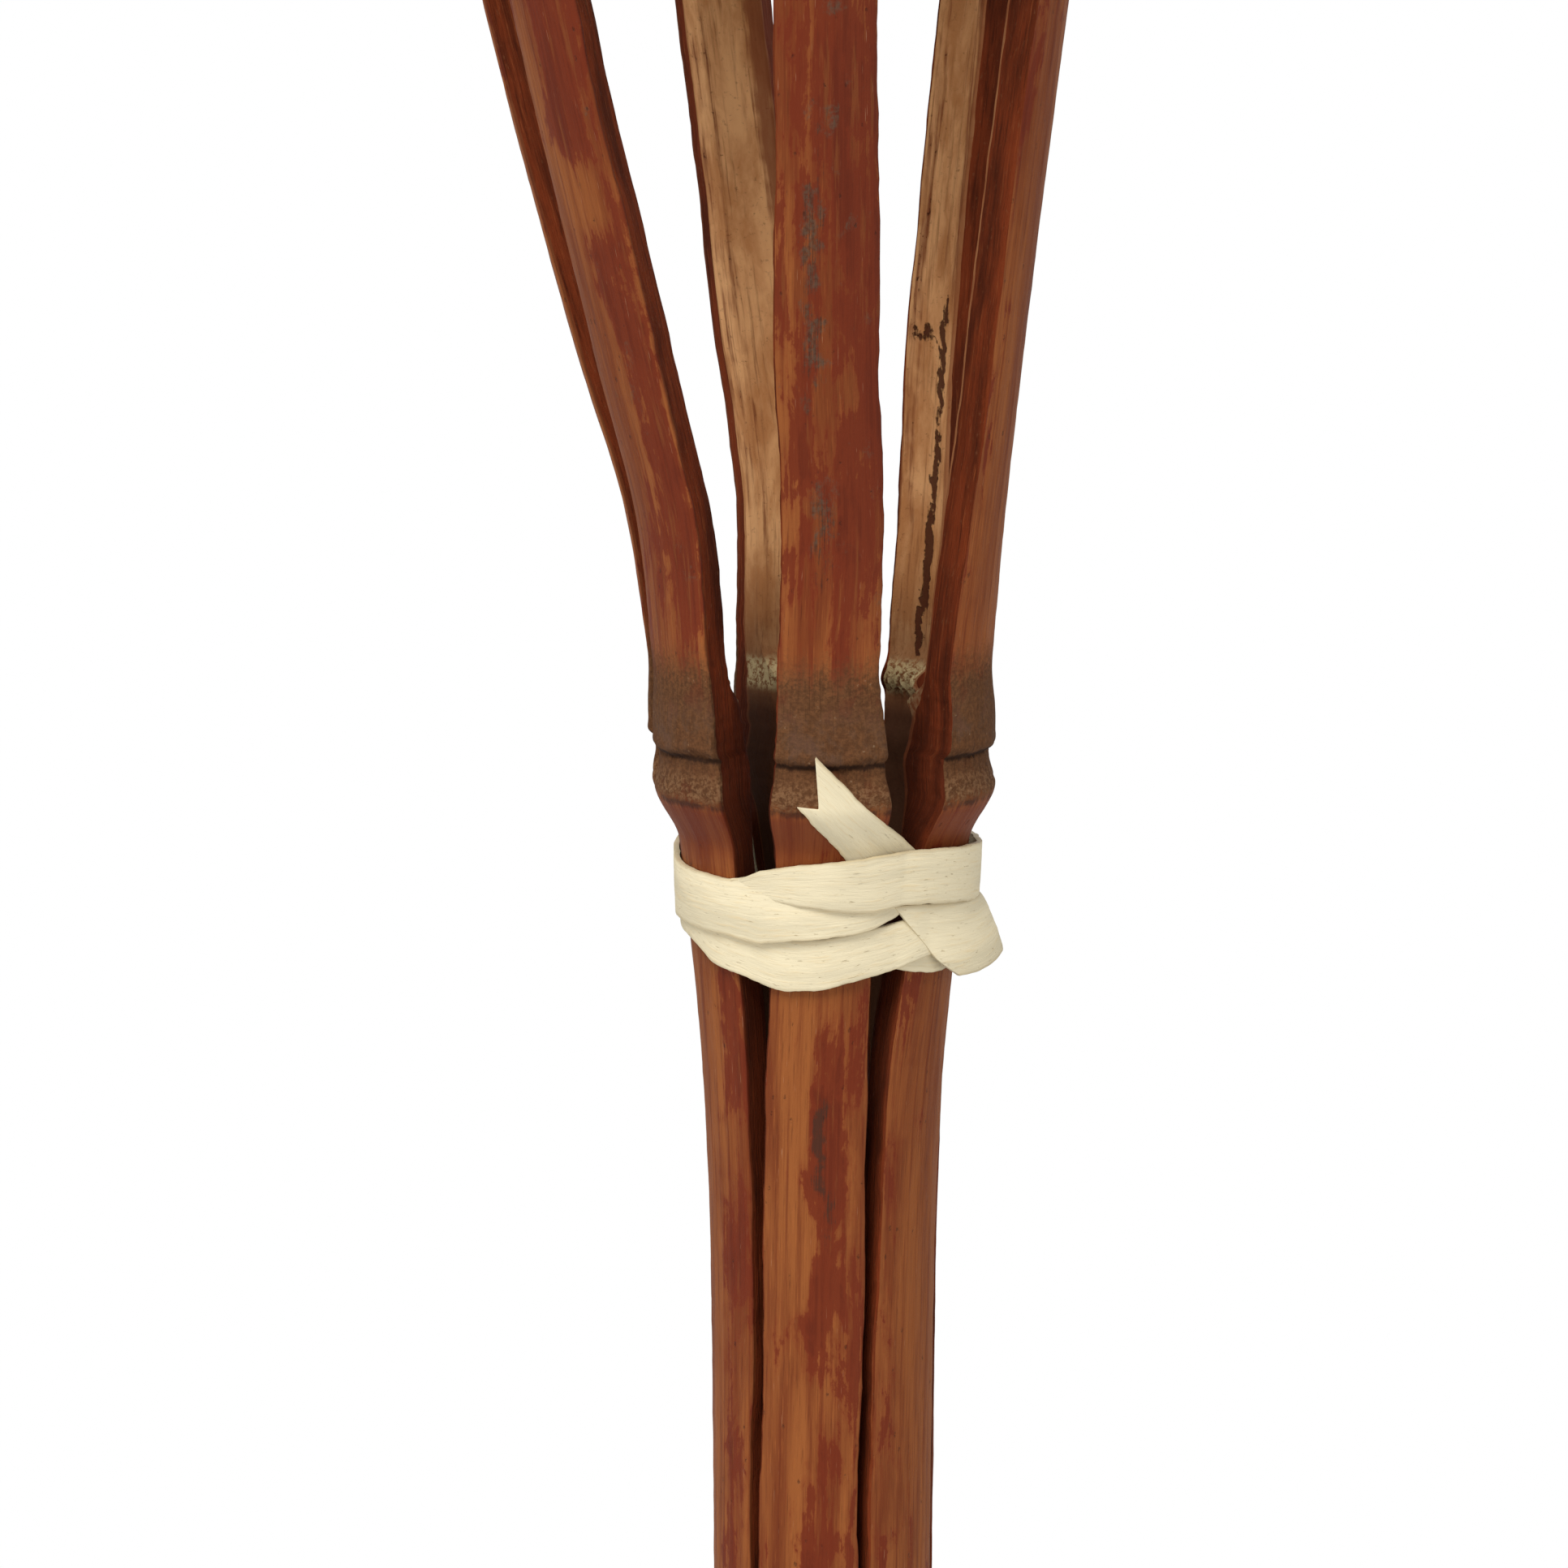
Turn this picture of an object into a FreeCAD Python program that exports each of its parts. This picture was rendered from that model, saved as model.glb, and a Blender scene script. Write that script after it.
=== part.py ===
import FreeCAD, Part
import math
import os
import re
import Sketcher

# A bamboo garden torch, standing upright on +Z. The origin is on the pole's axis at the ground line.
# One cane is its pole. The cane's upper internode is split into six staves, which a rattan strip holds
# together under a node. Above the node they fan out into a woven basket that holds an oil canister.

SHEET = "Sizes"
COURSE_COUNT = 12

# Driving dimensions in millimetres and degrees: alias, value, what it is.
SIZES = (
    ("stake_depth", 200, "length of the pole below the ground line"),
    ("slant_height", 44, "height of the slanting cut at the stake's point"),
    ("first_node", 60, "lowest node above the ground line"),
    ("second_node", 255, "second node above the ground line"),
    ("third_node", 458, "node just under the split"),
    ("split_root", 470, "where the split starts, above the ground line"),
    ("butt_radius", 15, "outer radius of the lowest internode"),
    ("lower_radius", 14.6, "outer radius of the second internode"),
    ("upper_radius", 14.3, "outer radius of the third internode"),
    ("cane_radius", 14, "outer radius of the split internode"),
    ("bore_radius", 9, "inner radius of the hollow cane"),
    ("ridge_height", 1.8, "how far a node's ridge stands out"),
    ("groove_depth", 0.4, "how far the groove over a ridge cuts in"),
    ("ridge_spread", 4, "half length of a node's ridge along the cane"),
    ("septum", 4, "half thickness of the wall inside a node"),
    ("stave_half_angle", 29.3, "half of the angle that a stave takes of the cane"),
    ("node_height", 705, "node of the staves above the ground line"),
    ("strip_thickness", 1, "thickness of a weaving strip"),
    ("strip_width", 7.6, "width of a weaving strip"),
    ("course_pitch", 8.8, "from one course of the weave to the next"),
    ("first_course", 112, "foot of the first course above the staves' node"),
    ("weave_sway", 4.9, "how far a course sways in and out of its mean circle"),
    ("weave_offset", 11.1, "mean circle of a course beyond the staves' own axis"),
    ("hoop_rise", 225.5, "middle of the rim hoops above the staves' node"),
    ("hoop_radius", 2.5, "radius of the cane of a rim hoop"),
    ("hoop_gap", 0.4, "gap between a hoop and the staves"),
    ("lashing_width", 5, "width of a rim lashing"),
    ("lashing_thickness", 0.8, "thickness of a rim lashing"),
    ("tie_foot", 29, "foot of the tie under the staves' node"),
    ("tie_head", 12, "head of the tie under the staves' node"),
    ("tie_inner_foot", 17.3, "inner radius of the tie at its foot"),
    ("tie_inner_head", 19.5, "inner radius of the tie at its head"),
    ("tie_thickness", 1.8, "thickness of the wound strip"),
    ("tail_width", 6, "width of the strip's loose tail"),
    ("tail_length", 14.5, "length of the strip's loose tail"),
    ("tail_side", 8, "where the tail leaves the winding, to the side of the axis"),
    ("tail_depth", 19.6, "where the tail leaves the winding, in front of the axis"),
    ("tail_tilt", 19.5, "how far the tail leans away from the staves"),
    ("tail_notch", 3, "depth of the notch in the tail's end"),
    ("can_radius", 34, "outer radius of the oil canister"),
    ("can_wall", 0.8, "wall of the oil canister"),
    ("can_height", 92, "height of the oil canister's cup"),
    ("can_stand", 4, "height of the canister over its collar"),
    ("collar_radius", 54, "outer radius of the collar that hangs on the rim"),
    ("collar_wall", 1, "thickness of the collar"),
    ("collar_lip", 4, "height of the collar's turned-up lip"),
    ("neck_radius", 13.5, "outer radius of the filler neck"),
    ("neck_bore", 12.5, "inner radius of the filler neck"),
    ("neck_height", 12, "height of the filler neck over the lid's seam"),
    ("thread_height", 0.6, "height of the neck's thread"),
    ("gasket_thickness", 1.5, "thickness of the gasket"),
    ("gasket_bore", 10.5, "inner radius of the gasket"),
    ("cap_radius", 16.4, "outer radius of the burner cap"),
    ("cap_bore", 14.6, "inner radius of the burner cap"),
    ("cap_top", 1.2, "thickness of the burner cap's top"),
    ("cap_skirt", 4.6, "foot of the burner cap over the lid's seam"),
    ("knurl_count", 30, "flutes round the burner cap"),
    ("knurl_radius", 0.7, "radius of a flute"),
    ("tube_radius", 6.5, "outer radius of the wick tube"),
    ("tube_bore", 5.6, "inner radius of the wick tube"),
    ("tube_foot", 4, "foot of the wick tube over the lid's seam"),
    ("tube_top", 27, "top of the wick tube over the lid's seam"),
    ("flange_radius", 9, "radius of the wick tube's flange"),
    ("flange_thickness", 0.8, "thickness of the wick tube's flange"),
    ("wick_radius", 5.5, "radius of the wick"),
    ("wick_top", 31, "top of the wick over the lid's seam"),
    ("wick_length", 112, "length of the wick"),
    ("snuffer_radius", 11.6, "outer radius of the snuffer"),
    ("snuffer_wall", 0.8, "wall of the snuffer"),
    ("snuffer_height", 25, "height of the snuffer"),
    ("rest_gap", 0.05, "gap where one moving piece rests on another"),
    ("knob_radius", 5, "radius of the snuffer's knob"),
    ("knob_height", 10, "height of the snuffer's knob"),
    ("rivet_radius", 1.5, "radius of the snuffer's rivet"),
)

# Stations along a stave: name, rise over its node, and at that height how far it has moved out (flare),
# how far the whole fan leans towards +X, how far it has turned about the pole, its outer and inner radius,
# and how much of the stave's own low, high and tied drift it takes.
STATIONS = (
    ("root", -235, 0, 0, -9, 14, 9, 0, 0, 0),
    ("slit", -115, 0.1, 0, -9, 14, 9, 0, 0, 0),
    ("waist", -67, 0.5, 0, -6, 14, 9, 0, 0, 0),
    ("heel", -42, 1.6, 0, -4, 14, 9, 0, 0, 0.4),
    ("foot", -27, 3.1, 0, -1.5, 14, 9, 0, 0, 0.8),
    ("throat", -12, 4.9, 0, 0.8, 14.1, 9, 0, 0, 1),
    ("ridge", -5.2, 6, 0, 2.5, 16.3, 8, 0.3, 0, 1),
    ("groove", -0.6, 7, -0.2, 3, 14.8, 6.6, 0.4, 0, 1),
    ("lip", 1.5, 7.5, -0.2, 3.5, 15, 6.6, 0.5, 0, 0.9),
    ("band", 11, 8.5, -0.5, 4.5, 14, 9, 1, 0, 0.25),
    ("shoulder", 27, 10.2, -1, 8, 14, 9, 0.5, 0.5, 0),
    ("neck", 50, 14.7, -3.1, 11.5, 14, 9, 0, 1, 0),
    ("fan", 100, 25.1, -6.9, 10.5, 14, 9, 0, 0, 0),
    ("basket", 140, 32, -8.5, 10.5, 14, 9, 0, 0, 0),
    ("belly", 190, 37, -9, 10.5, 14, 9, 0, 0, 0),
    ("rim", 235, 38.5, -9, 10.5, 14, 9, 0, 0, 0),
)
STATION_COLUMNS = ("rise", "flare", "lean", "turn", "outer", "inner", "low", "high", "tied")

# The staves in order round the pole from the front, each with its own drift in degrees: just over the
# node (low), half way up to the basket (high), and where the tie holds it (tied).
STAVES = (
    ("front", -1.8, -4.5, 0),
    ("front_right", 0, 0, 0),
    ("back_right", 8.5, 1.5, 5),
    ("back", 6, -1.5, 8),
    ("back_left", 2.5, 6, 3),
    ("front_left", -1, -3.5, 0),
)
STAVE_COLUMNS = ("low_drift", "high_drift", "tied_drift")


def make_sheet(doc):
    """The spreadsheet with every driving dimension under its alias."""
    sheet = doc.addObject("Spreadsheet::Sheet", SHEET)
    rows = list(SIZES)
    for table, columns in ((STATIONS, STATION_COLUMNS), (STAVES, STAVE_COLUMNS)):
        for name, *values in table:
            rows += [(f"{name}_{column}", value, name) for column, value in zip(columns, values)]
    for number, (alias, value, note) in enumerate(rows, start=1):
        sheet.set(f"A{number}", note)
        sheet.set(f"B{number}", str(value))
        sheet.setAlias(f"B{number}", alias)
    doc.recompute()
    return sheet, {row[0] for row in rows}


DOC = FreeCAD.newDocument("GardenTorch")
SIZE_SHEET, ALIASES = make_sheet(DOC)
STAVE_COUNT = len(STAVES)
NODES = []


def cell(text):
    """The expression text with every alias in it written as a reference to the sheet."""
    return re.sub(r"[a-z_]+[a-z]", lambda word: f"{SHEET}.{word[0]}" if word[0] in ALIASES else word[0], text)


def number(text):
    """The value of an expression on the sheet's aliases."""
    return float(SIZE_SHEET.evalExpression(cell(text)))


def new_body(label, x="0", z="0"):
    """A PartDesign body for one sub-part, placed by expressions."""
    body = DOC.addObject("PartDesign::Body", label)
    body.Label = label
    body.setExpression("Placement.Base.x", cell(x))
    body.setExpression("Placement.Base.z", cell(z))
    NODES.append(body)
    return body


def new_feature(label, shape, x, z):
    """A sub-part whose shape is made with Part's own functions, then placed."""
    feature = DOC.addObject("Part::Feature", label)
    feature.Label = label
    feature.Shape = shape
    feature.Placement = FreeCAD.Placement(FreeCAD.Vector(x, 0, z), FreeCAD.Rotation())
    NODES.append(feature)
    return feature


def plane_of(body, role):
    """One of a body's own origin planes or axes, by its role."""
    return next(item for item in body.Origin.OriginFeatures if item.Role == role)


def new_sketch(body, name, role):
    sketch = body.newObject("Sketcher::SketchObject", name)
    sketch.AttachmentSupport = (plane_of(body, role), [""])
    sketch.MapMode = "FlatFace"
    return sketch


def pin_point(sketch, line, x, y):
    """Fixes a line's start to the place that two expressions give."""
    for kind, axis, text in (("DistanceX", -2, x), ("DistanceY", -1, y)):
        if abs(number(text)) < 1e-9:
            sketch.addConstraint(Sketcher.Constraint("PointOnObject", line, 1, axis))
        else:
            index = sketch.addConstraint(Sketcher.Constraint(kind, -1, 1, line, 1, number(text)))
            sketch.setExpression(f"Constraints[{index}]", cell(text))


def outline(body, name, points, role="XZ_Plane"):
    """A sketch of one closed outline of straight lines, each corner bound to the sheet."""
    sketch = new_sketch(body, name, role)
    corners = [FreeCAD.Vector(number(x), number(y), 0) for x, y in points]
    count = len(corners)
    for index in range(count):
        sketch.addGeometry(Part.LineSegment(corners[index], corners[(index + 1) % count]), False)
    for index in range(count):
        sketch.addConstraint(Sketcher.Constraint("Coincident", index, 2, (index + 1) % count, 1))
    for index, (x, y) in enumerate(points):
        pin_point(sketch, index, x, y)
    return sketch


def turned(body, kind, sketch, name):
    """A full turn of a sketch about the body's own Z axis: a Revolution or a Groove."""
    feature = body.newObject(f"PartDesign::{kind}", name)
    feature.Profile = sketch
    feature.ReferenceAxis = (plane_of(body, "Z_Axis"), [""])
    feature.Angle = 360
    sketch.Visibility = False
    return feature


def lathe(label, points, x="0", z="0"):
    """A body turned from one outline of (radius, height) corners."""
    body = new_body(label, x, z)
    turned(body, "Revolution", outline(body, f"{label}_outline", points), f"{label}_turned")
    return body


def node_outline(radius_below, radius_above, height):
    """Outer corners of one node of the cane, from under its ridge to over its lip."""
    return [
        (radius_below, f"{height} - 2 * ridge_spread"),
        (f"{radius_below} + ridge_height", f"{height} - ridge_spread"),
        (f"{radius_above} + ridge_height", f"{height} - 0.5 * ridge_spread"),
        (f"{radius_above} - groove_depth", height),
        (f"{radius_above} + 0.6 * ridge_height", f"{height} + 0.5 * ridge_spread"),
        (radius_above, f"{height} + 2 * ridge_spread"),
    ]


def hollow(body, name, low, high):
    """Clears one internode's hollow out of the pole."""
    points = [("0", low), ("bore_radius", low), ("bore_radius", high), ("0", high)]
    turned(body, "Groove", outline(body, f"{name}_outline", points), name)


def make_pole():
    """The unsplit cane: three nodes, a hollow in each internode, and a slanting cut for a point."""
    body = new_body("pole", z="0 - stake_depth")
    levels = [f"stake_depth + {name}" for name in ("first_node", "second_node", "third_node")]
    radii = ("butt_radius", "lower_radius", "upper_radius", "cane_radius")
    points = [("0", "0"), (radii[0], "0")]
    for index, level in enumerate(levels[:2]):
        points += node_outline(radii[index], radii[index + 1], level)
    points += node_outline(radii[2], radii[3], levels[2])
    points += [(radii[3], "stake_depth + split_root"), ("0", "stake_depth + split_root")]
    turned(body, "Revolution", outline(body, "pole_outline", points), "pole_turned")
    floors = ["0"] + [f"{level} + septum" for level in levels]
    ceilings = [f"{level} - septum" for level in levels] + ["stake_depth + split_root"]
    for index, (low, high) in enumerate(zip(floors, ceilings)):
        hollow(body, f"hollow_{index + 1}", low, high)
    wedge = [("0 - butt_radius", "0"), ("butt_radius", "0"), ("butt_radius", "slant_height")]
    slant = body.newObject("PartDesign::Pocket", "slanting_cut")
    slant.Profile = outline(body, "slant_outline", wedge)
    slant.Type = "ThroughAll"
    slant.Midplane = True
    return body


def stave_section(body, index, station):
    """One cross-section of a stave: a slice of the cane's ring, turned and moved out with the fan."""
    sketch = new_sketch(body, f"{body.Label}_{station}", "XY_Plane")
    name = STAVES[index][0]
    bearing = f"{360 / STAVE_COUNT * index:g} + {station}_turn"
    bearing += f" + {station}_low * {name}_low_drift + {station}_high * {name}_high_drift"
    bearing += f" + {station}_tied * {name}_tied_drift"
    offset = {
        "Base.x": f"{station}_lean + {station}_flare * sin({bearing})",
        "Base.y": f"0 - {station}_flare * cos({bearing})",
        "Base.z": f"node_height + {station}_rise",
        "Rotation.Angle": bearing,
    }
    sketch.AttachmentOffset = FreeCAD.Placement(FreeCAD.Vector(), FreeCAD.Rotation(FreeCAD.Vector(0, 0, 1), 1))
    for place, text in offset.items():
        sketch.setExpression(f"AttachmentOffset.{place}", cell(text))
    half = math.radians(number("stave_half_angle"))
    start, end = -math.pi / 2 - half, -math.pi / 2 + half
    up = FreeCAD.Vector(0, 0, 1)
    outer = Part.Circle(FreeCAD.Vector(), up, number(f"{station}_outer"))
    inner = Part.Circle(FreeCAD.Vector(), up, number(f"{station}_inner"))
    outer_arc = Part.ArcOfCircle(outer, start, end)
    inner_arc = Part.ArcOfCircle(inner, start, end)
    left_side = Part.LineSegment(inner_arc.StartPoint, outer_arc.StartPoint)
    right_side = Part.LineSegment(outer_arc.EndPoint, inner_arc.EndPoint)
    for geometry in (outer_arc, right_side, inner_arc, left_side):
        sketch.addGeometry(geometry, False)
    rules = [
        ("Coincident", 0, 3, -1, 1),
        ("Coincident", 2, 3, -1, 1),
        ("Coincident", 0, 2, 1, 1),
        ("Coincident", 1, 2, 2, 2),
        ("Coincident", 2, 1, 3, 1),
        ("Coincident", 3, 2, 0, 1),
        ("PointOnObject", -1, 1, 1),
        ("PointOnObject", -1, 1, 3),
    ]
    for rule in rules:
        sketch.addConstraint(Sketcher.Constraint(*rule))
    for arc, size in ((0, f"{station}_outer"), (2, f"{station}_inner")):
        rule = sketch.addConstraint(Sketcher.Constraint("Radius", arc, number(size)))
        sketch.setExpression(f"Constraints[{rule}]", cell(size))
    spans = ((1, "stave_half_angle"), (3, "0 - stave_half_angle"))
    for line, size in spans:
        point = 1 if line == 1 else 2
        reach = f"{station}_outer * sin({size})"
        rule = sketch.addConstraint(Sketcher.Constraint("DistanceX", -1, 1, line, point, number(reach)))
        sketch.setExpression(f"Constraints[{rule}]", cell(reach))
    return sketch


def make_stave(index):
    """One stave, lofted straight from station to station."""
    body = new_body(f"stave_{STAVES[index][0]}")
    sections = [stave_section(body, index, station[0]) for station in STATIONS]
    loft = body.newObject("PartDesign::AdditiveLoft", f"{body.Label}_loft")
    loft.Profile = sections[0]
    loft.Sections = sections[1:]
    loft.Ruled = True
    return body


def station_value(column, rise):
    """A station column at any rise over the node, straight between two stations."""
    names = [station[0] for station in STATIONS]
    rises = [number(f"{name}_rise") for name in names]
    for low, high, name, after in zip(rises, rises[1:], names, names[1:]):
        if low <= rise <= high:
            share = (rise - low) / (high - low)
            return number(f"{name}_{column}") * (1 - share) + number(f"{after}_{column}") * share
    raise ValueError(f"no stave at a rise of {rise}")


def wave_wire(mean, sway, turn):
    """A closed wire that sways out round every other stave and in round those between."""
    points = []
    steps = 12 * STAVE_COUNT
    for step in range(steps):
        angle = 2 * math.pi * step / steps
        radius = mean + sway * math.cos(STAVE_COUNT / 2 * angle)
        bearing = angle + math.radians(turn)
        points.append(FreeCAD.Vector(radius * math.sin(bearing), -radius * math.cos(bearing), 0))
    curve = Part.BSplineCurve()
    curve.interpolate(Points=points, PeriodicFlag=True)
    return Part.Wire([curve.toShape()])


def make_course(index):
    """One course of the weave: a strip bent into a ring, outside one stave and inside the next."""
    foot = number("first_course") + index * number("course_pitch")
    middle = foot + number("strip_width") / 2
    mean = station_value("flare", middle) + number("weave_offset")
    turn = station_value("turn", middle)
    sway = number("weave_sway") * (1 if index % 2 == 0 else -1)
    half = number("strip_thickness") / 2
    edge = Part.Face(wave_wire(mean + half, sway, turn)).cut(Part.Face(wave_wire(mean - half, sway, turn)))
    ring = edge.extrude(FreeCAD.Vector(0, 0, number("strip_width")))
    place = station_value("lean", middle), number("node_height") + foot
    return new_feature(f"weave_course_{index + 1:02d}", Part.Solid(ring.Solids[0]), *place)


def hoop_circles():
    """Radii of the inner and the outer rim hoop."""
    rise = number("hoop_rise")
    flare = station_value("flare", rise)
    half = math.radians(number("stave_half_angle"))
    clear = number("hoop_gap") + number("hoop_radius")
    corner = math.hypot(flare + number("bore_radius") * math.cos(half), number("bore_radius") * math.sin(half))
    return corner - clear, flare + number("cane_radius") + clear


def make_hoop(label, radius):
    hoop = DOC.addObject("Part::Torus", label)
    hoop.Label = label
    hoop.Radius1 = radius
    hoop.setExpression("Radius2", cell("hoop_radius"))
    hoop.setExpression("Placement.Base.x", cell("rim_lean"))
    hoop.setExpression("Placement.Base.z", cell("node_height + hoop_rise"))
    NODES.append(hoop)
    return hoop


def make_lashings(inner, outer):
    """Two lashings beside every stave, each a flat loop round both hoops."""
    slack = 0.15
    reach = number("hoop_radius") + slack
    thick = number("lashing_thickness")
    width = number("lashing_width")
    # The loop is square to the hoops, so its window is a little longer than the hoops at its middle.
    sag = inner - math.sqrt(inner ** 2 - (width / 2) ** 2)
    low = inner - reach - sag
    high = outer + reach
    window = Part.makeBox(high - low, width, 2 * reach, FreeCAD.Vector(low, -width / 2, -reach))
    block = Part.makeBox(
        high - low + 2 * thick, width, 2 * (reach + thick), FreeCAD.Vector(low - thick, -width / 2, -reach - thick)
    )
    loop = block.cut(window)
    middle = station_value("flare", number("hoop_rise")) + number("cane_radius")
    beside = math.degrees(math.asin((number("cane_radius") / 2 + width / 2 + 0.6) / middle))
    loops = []
    for index in range(STAVE_COUNT):
        for side in (-1, 1):
            bearing = 360 / STAVE_COUNT * index + number("rim_turn") + side * beside - 90
            copy = loop.copy()
            copy.rotate(FreeCAD.Vector(), FreeCAD.Vector(0, 0, 1), bearing)
            loops.append(copy)
    place = number("rim_lean"), number("node_height + hoop_rise")
    return new_feature("rim_lashings", Part.makeCompound(loops), *place)


def make_tie():
    """The rattan strip, wound round the staves under their node, with its loose tail in front."""
    body = new_body("rattan_tie", z="node_height - tie_foot")
    points = [
        ("tie_inner_foot", "0"),
        ("tie_inner_foot + tie_thickness", "0"),
        ("tie_inner_head + tie_thickness", "tie_foot - tie_head"),
        ("tie_inner_head", "tie_foot - tie_head"),
    ]
    turned(body, "Revolution", outline(body, "tie_outline", points), "tie_wound")
    # The tail leaves the winding in front and points up and to the left, with a notch in its end.
    side, along, notch = "0.354 * tail_width", "0.707 * tail_length", "0.707 * (tail_length - tail_notch)"
    corners = [
        (side, side),
        (f"0 - {side}", f"0 - {side}"),
        (f"0 - {side} - {along}", f"{along} - {side}"),
        (f"0 - {notch}", notch),
        (f"{side} - {along}", f"{along} + {side}"),
    ]
    tail = body.newObject("PartDesign::Pad", "tie_tail")
    tail.Profile = outline(body, "tail_outline", corners)
    tilt = FreeCAD.Rotation(FreeCAD.Vector(1, 1, 0), 1)
    tail.Profile[0].AttachmentOffset = FreeCAD.Placement(FreeCAD.Vector(), tilt)
    offset = {
        "Base.x": "tail_side",
        "Base.y": "tie_foot - tie_head",
        "Base.z": "tail_depth",
        "Rotation.Angle": "tail_tilt",
    }
    for place, text in offset.items():
        tail.Profile[0].setExpression(f"AttachmentOffset.{place}", cell(text))
    tail.setExpression("Length", cell("0.8 * strip_thickness"))
    return body


SEAM = "node_height + rim_rise + rest_gap + can_stand"


def head_lathe(label, points, seam=SEAM):
    """A turned piece on the head's own axis, with heights from the canister's seam."""
    return lathe(label, points, x="rim_lean", z=seam)


def make_canister():
    """The drawn cup, the collar that hangs on the rim, the lid and the filler neck."""
    head_lathe("canister_cup", [
        ("0", "0 - can_height"),
        ("can_radius", "0 - can_height"),
        ("can_radius", "0"),
        ("can_radius - can_wall", "0"),
        ("can_radius - can_wall", "can_wall - can_height"),
        ("0", "can_wall - can_height"),
    ])
    head_lathe("canister_collar", [
        ("can_radius", "0 - can_stand"),
        ("collar_radius", "0 - can_stand"),
        ("collar_radius + 1", "collar_lip - can_stand"),
        ("collar_radius", "collar_lip - can_stand"),
        ("collar_radius - 1", "collar_wall - can_stand"),
        ("can_radius", "collar_wall - can_stand"),
    ])
    head_lathe("canister_lid", [
        ("neck_radius", "3"),
        ("neck_radius", "3 + can_wall"),
        ("can_radius - 4", "2 * can_wall"),
        ("can_radius + can_wall", "2 * can_wall"),
        ("can_radius + can_wall", "0 - 2"),
        ("can_radius", "0 - 2"),
        ("can_radius", "0"),
        ("can_radius - 3", "0"),
    ])
    crest = "neck_radius + thread_height"
    neck = [("neck_bore", "0"), ("neck_radius", "0")]
    for turn in range(3):
        foot = f"{5.6 + 2 * turn:g}"
        neck += [
            ("neck_radius", foot),
            (crest, f"{foot} + 0.5"),
            (crest, f"{foot} + 0.8"),
            ("neck_radius", f"{foot} + 1.3"),
        ]
    neck += [("neck_radius", "neck_height"), ("neck_bore", "neck_height")]
    head_lathe("filler_neck", neck)


def make_burner():
    """The gasket, the fluted screw cap, the wick tube and the wick."""
    head_lathe("gasket", [
        ("gasket_bore", "neck_height + rest_gap"),
        ("neck_radius", "neck_height + rest_gap"),
        ("neck_radius", "neck_height + rest_gap + gasket_thickness"),
        ("gasket_bore", "neck_height + rest_gap + gasket_thickness"),
    ])
    under = "neck_height + 2 * rest_gap + gasket_thickness"
    top = f"{under} + cap_top"
    cap = head_lathe("burner_cap", [
        ("tube_radius", under),
        ("cap_bore", under),
        ("cap_bore", "cap_skirt"),
        ("cap_radius", "cap_skirt"),
        ("cap_radius", f"{top} - 0.8"),
        ("cap_radius - 0.8", top),
        ("tube_radius", top),
    ])
    flute = new_sketch(cap, "flute_outline", "XY_Plane")
    flute.addGeometry(Part.Circle(FreeCAD.Vector(number("cap_radius"), 0, 0), FreeCAD.Vector(0, 0, 1), 1), False)
    flute.addConstraint(Sketcher.Constraint("PointOnObject", 0, 3, -1))
    place = flute.addConstraint(Sketcher.Constraint("DistanceX", -1, 1, 0, 3, number("cap_radius")))
    flute.setExpression(f"Constraints[{place}]", cell("cap_radius + 0.2"))
    size = flute.addConstraint(Sketcher.Constraint("Radius", 0, number("knurl_radius")))
    flute.setExpression(f"Constraints[{size}]", cell("knurl_radius"))
    pocket = cap.newObject("PartDesign::Pocket", "flute")
    pocket.Profile = flute
    pocket.Type = "ThroughAll"
    pocket.Midplane = True
    pattern = cap.newObject("PartDesign::PolarPattern", "flutes")
    pattern.Originals = [pocket]
    pattern.Axis = (plane_of(cap, "Z_Axis"), [""])
    pattern.Angle = 360
    pattern.setExpression("Occurrences", cell("knurl_count"))
    cap.Tip = pattern
    head_lathe("wick_tube", [
        ("tube_bore", "tube_foot"),
        ("tube_radius", "tube_foot"),
        ("tube_radius", top),
        ("flange_radius", top),
        ("flange_radius", f"{top} + flange_thickness"),
        ("tube_radius", f"{top} + flange_thickness"),
        ("tube_radius", "tube_top"),
        ("tube_bore", "tube_top"),
    ])
    wick = new_body("wick", x="rim_lean", z=f"{SEAM} + wick_top - wick_length")
    circle = new_sketch(wick, "wick_outline", "XY_Plane")
    circle.addGeometry(Part.Circle(FreeCAD.Vector(), FreeCAD.Vector(0, 0, 1), 1), False)
    circle.addConstraint(Sketcher.Constraint("Coincident", 0, 3, -1, 1))
    size = circle.addConstraint(Sketcher.Constraint("Radius", 0, number("wick_radius")))
    circle.setExpression(f"Constraints[{size}]", cell("wick_radius"))
    rope = wick.newObject("PartDesign::Pad", "wick_rope")
    rope.Profile = circle
    rope.setExpression("Length", cell("wick_length"))


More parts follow.
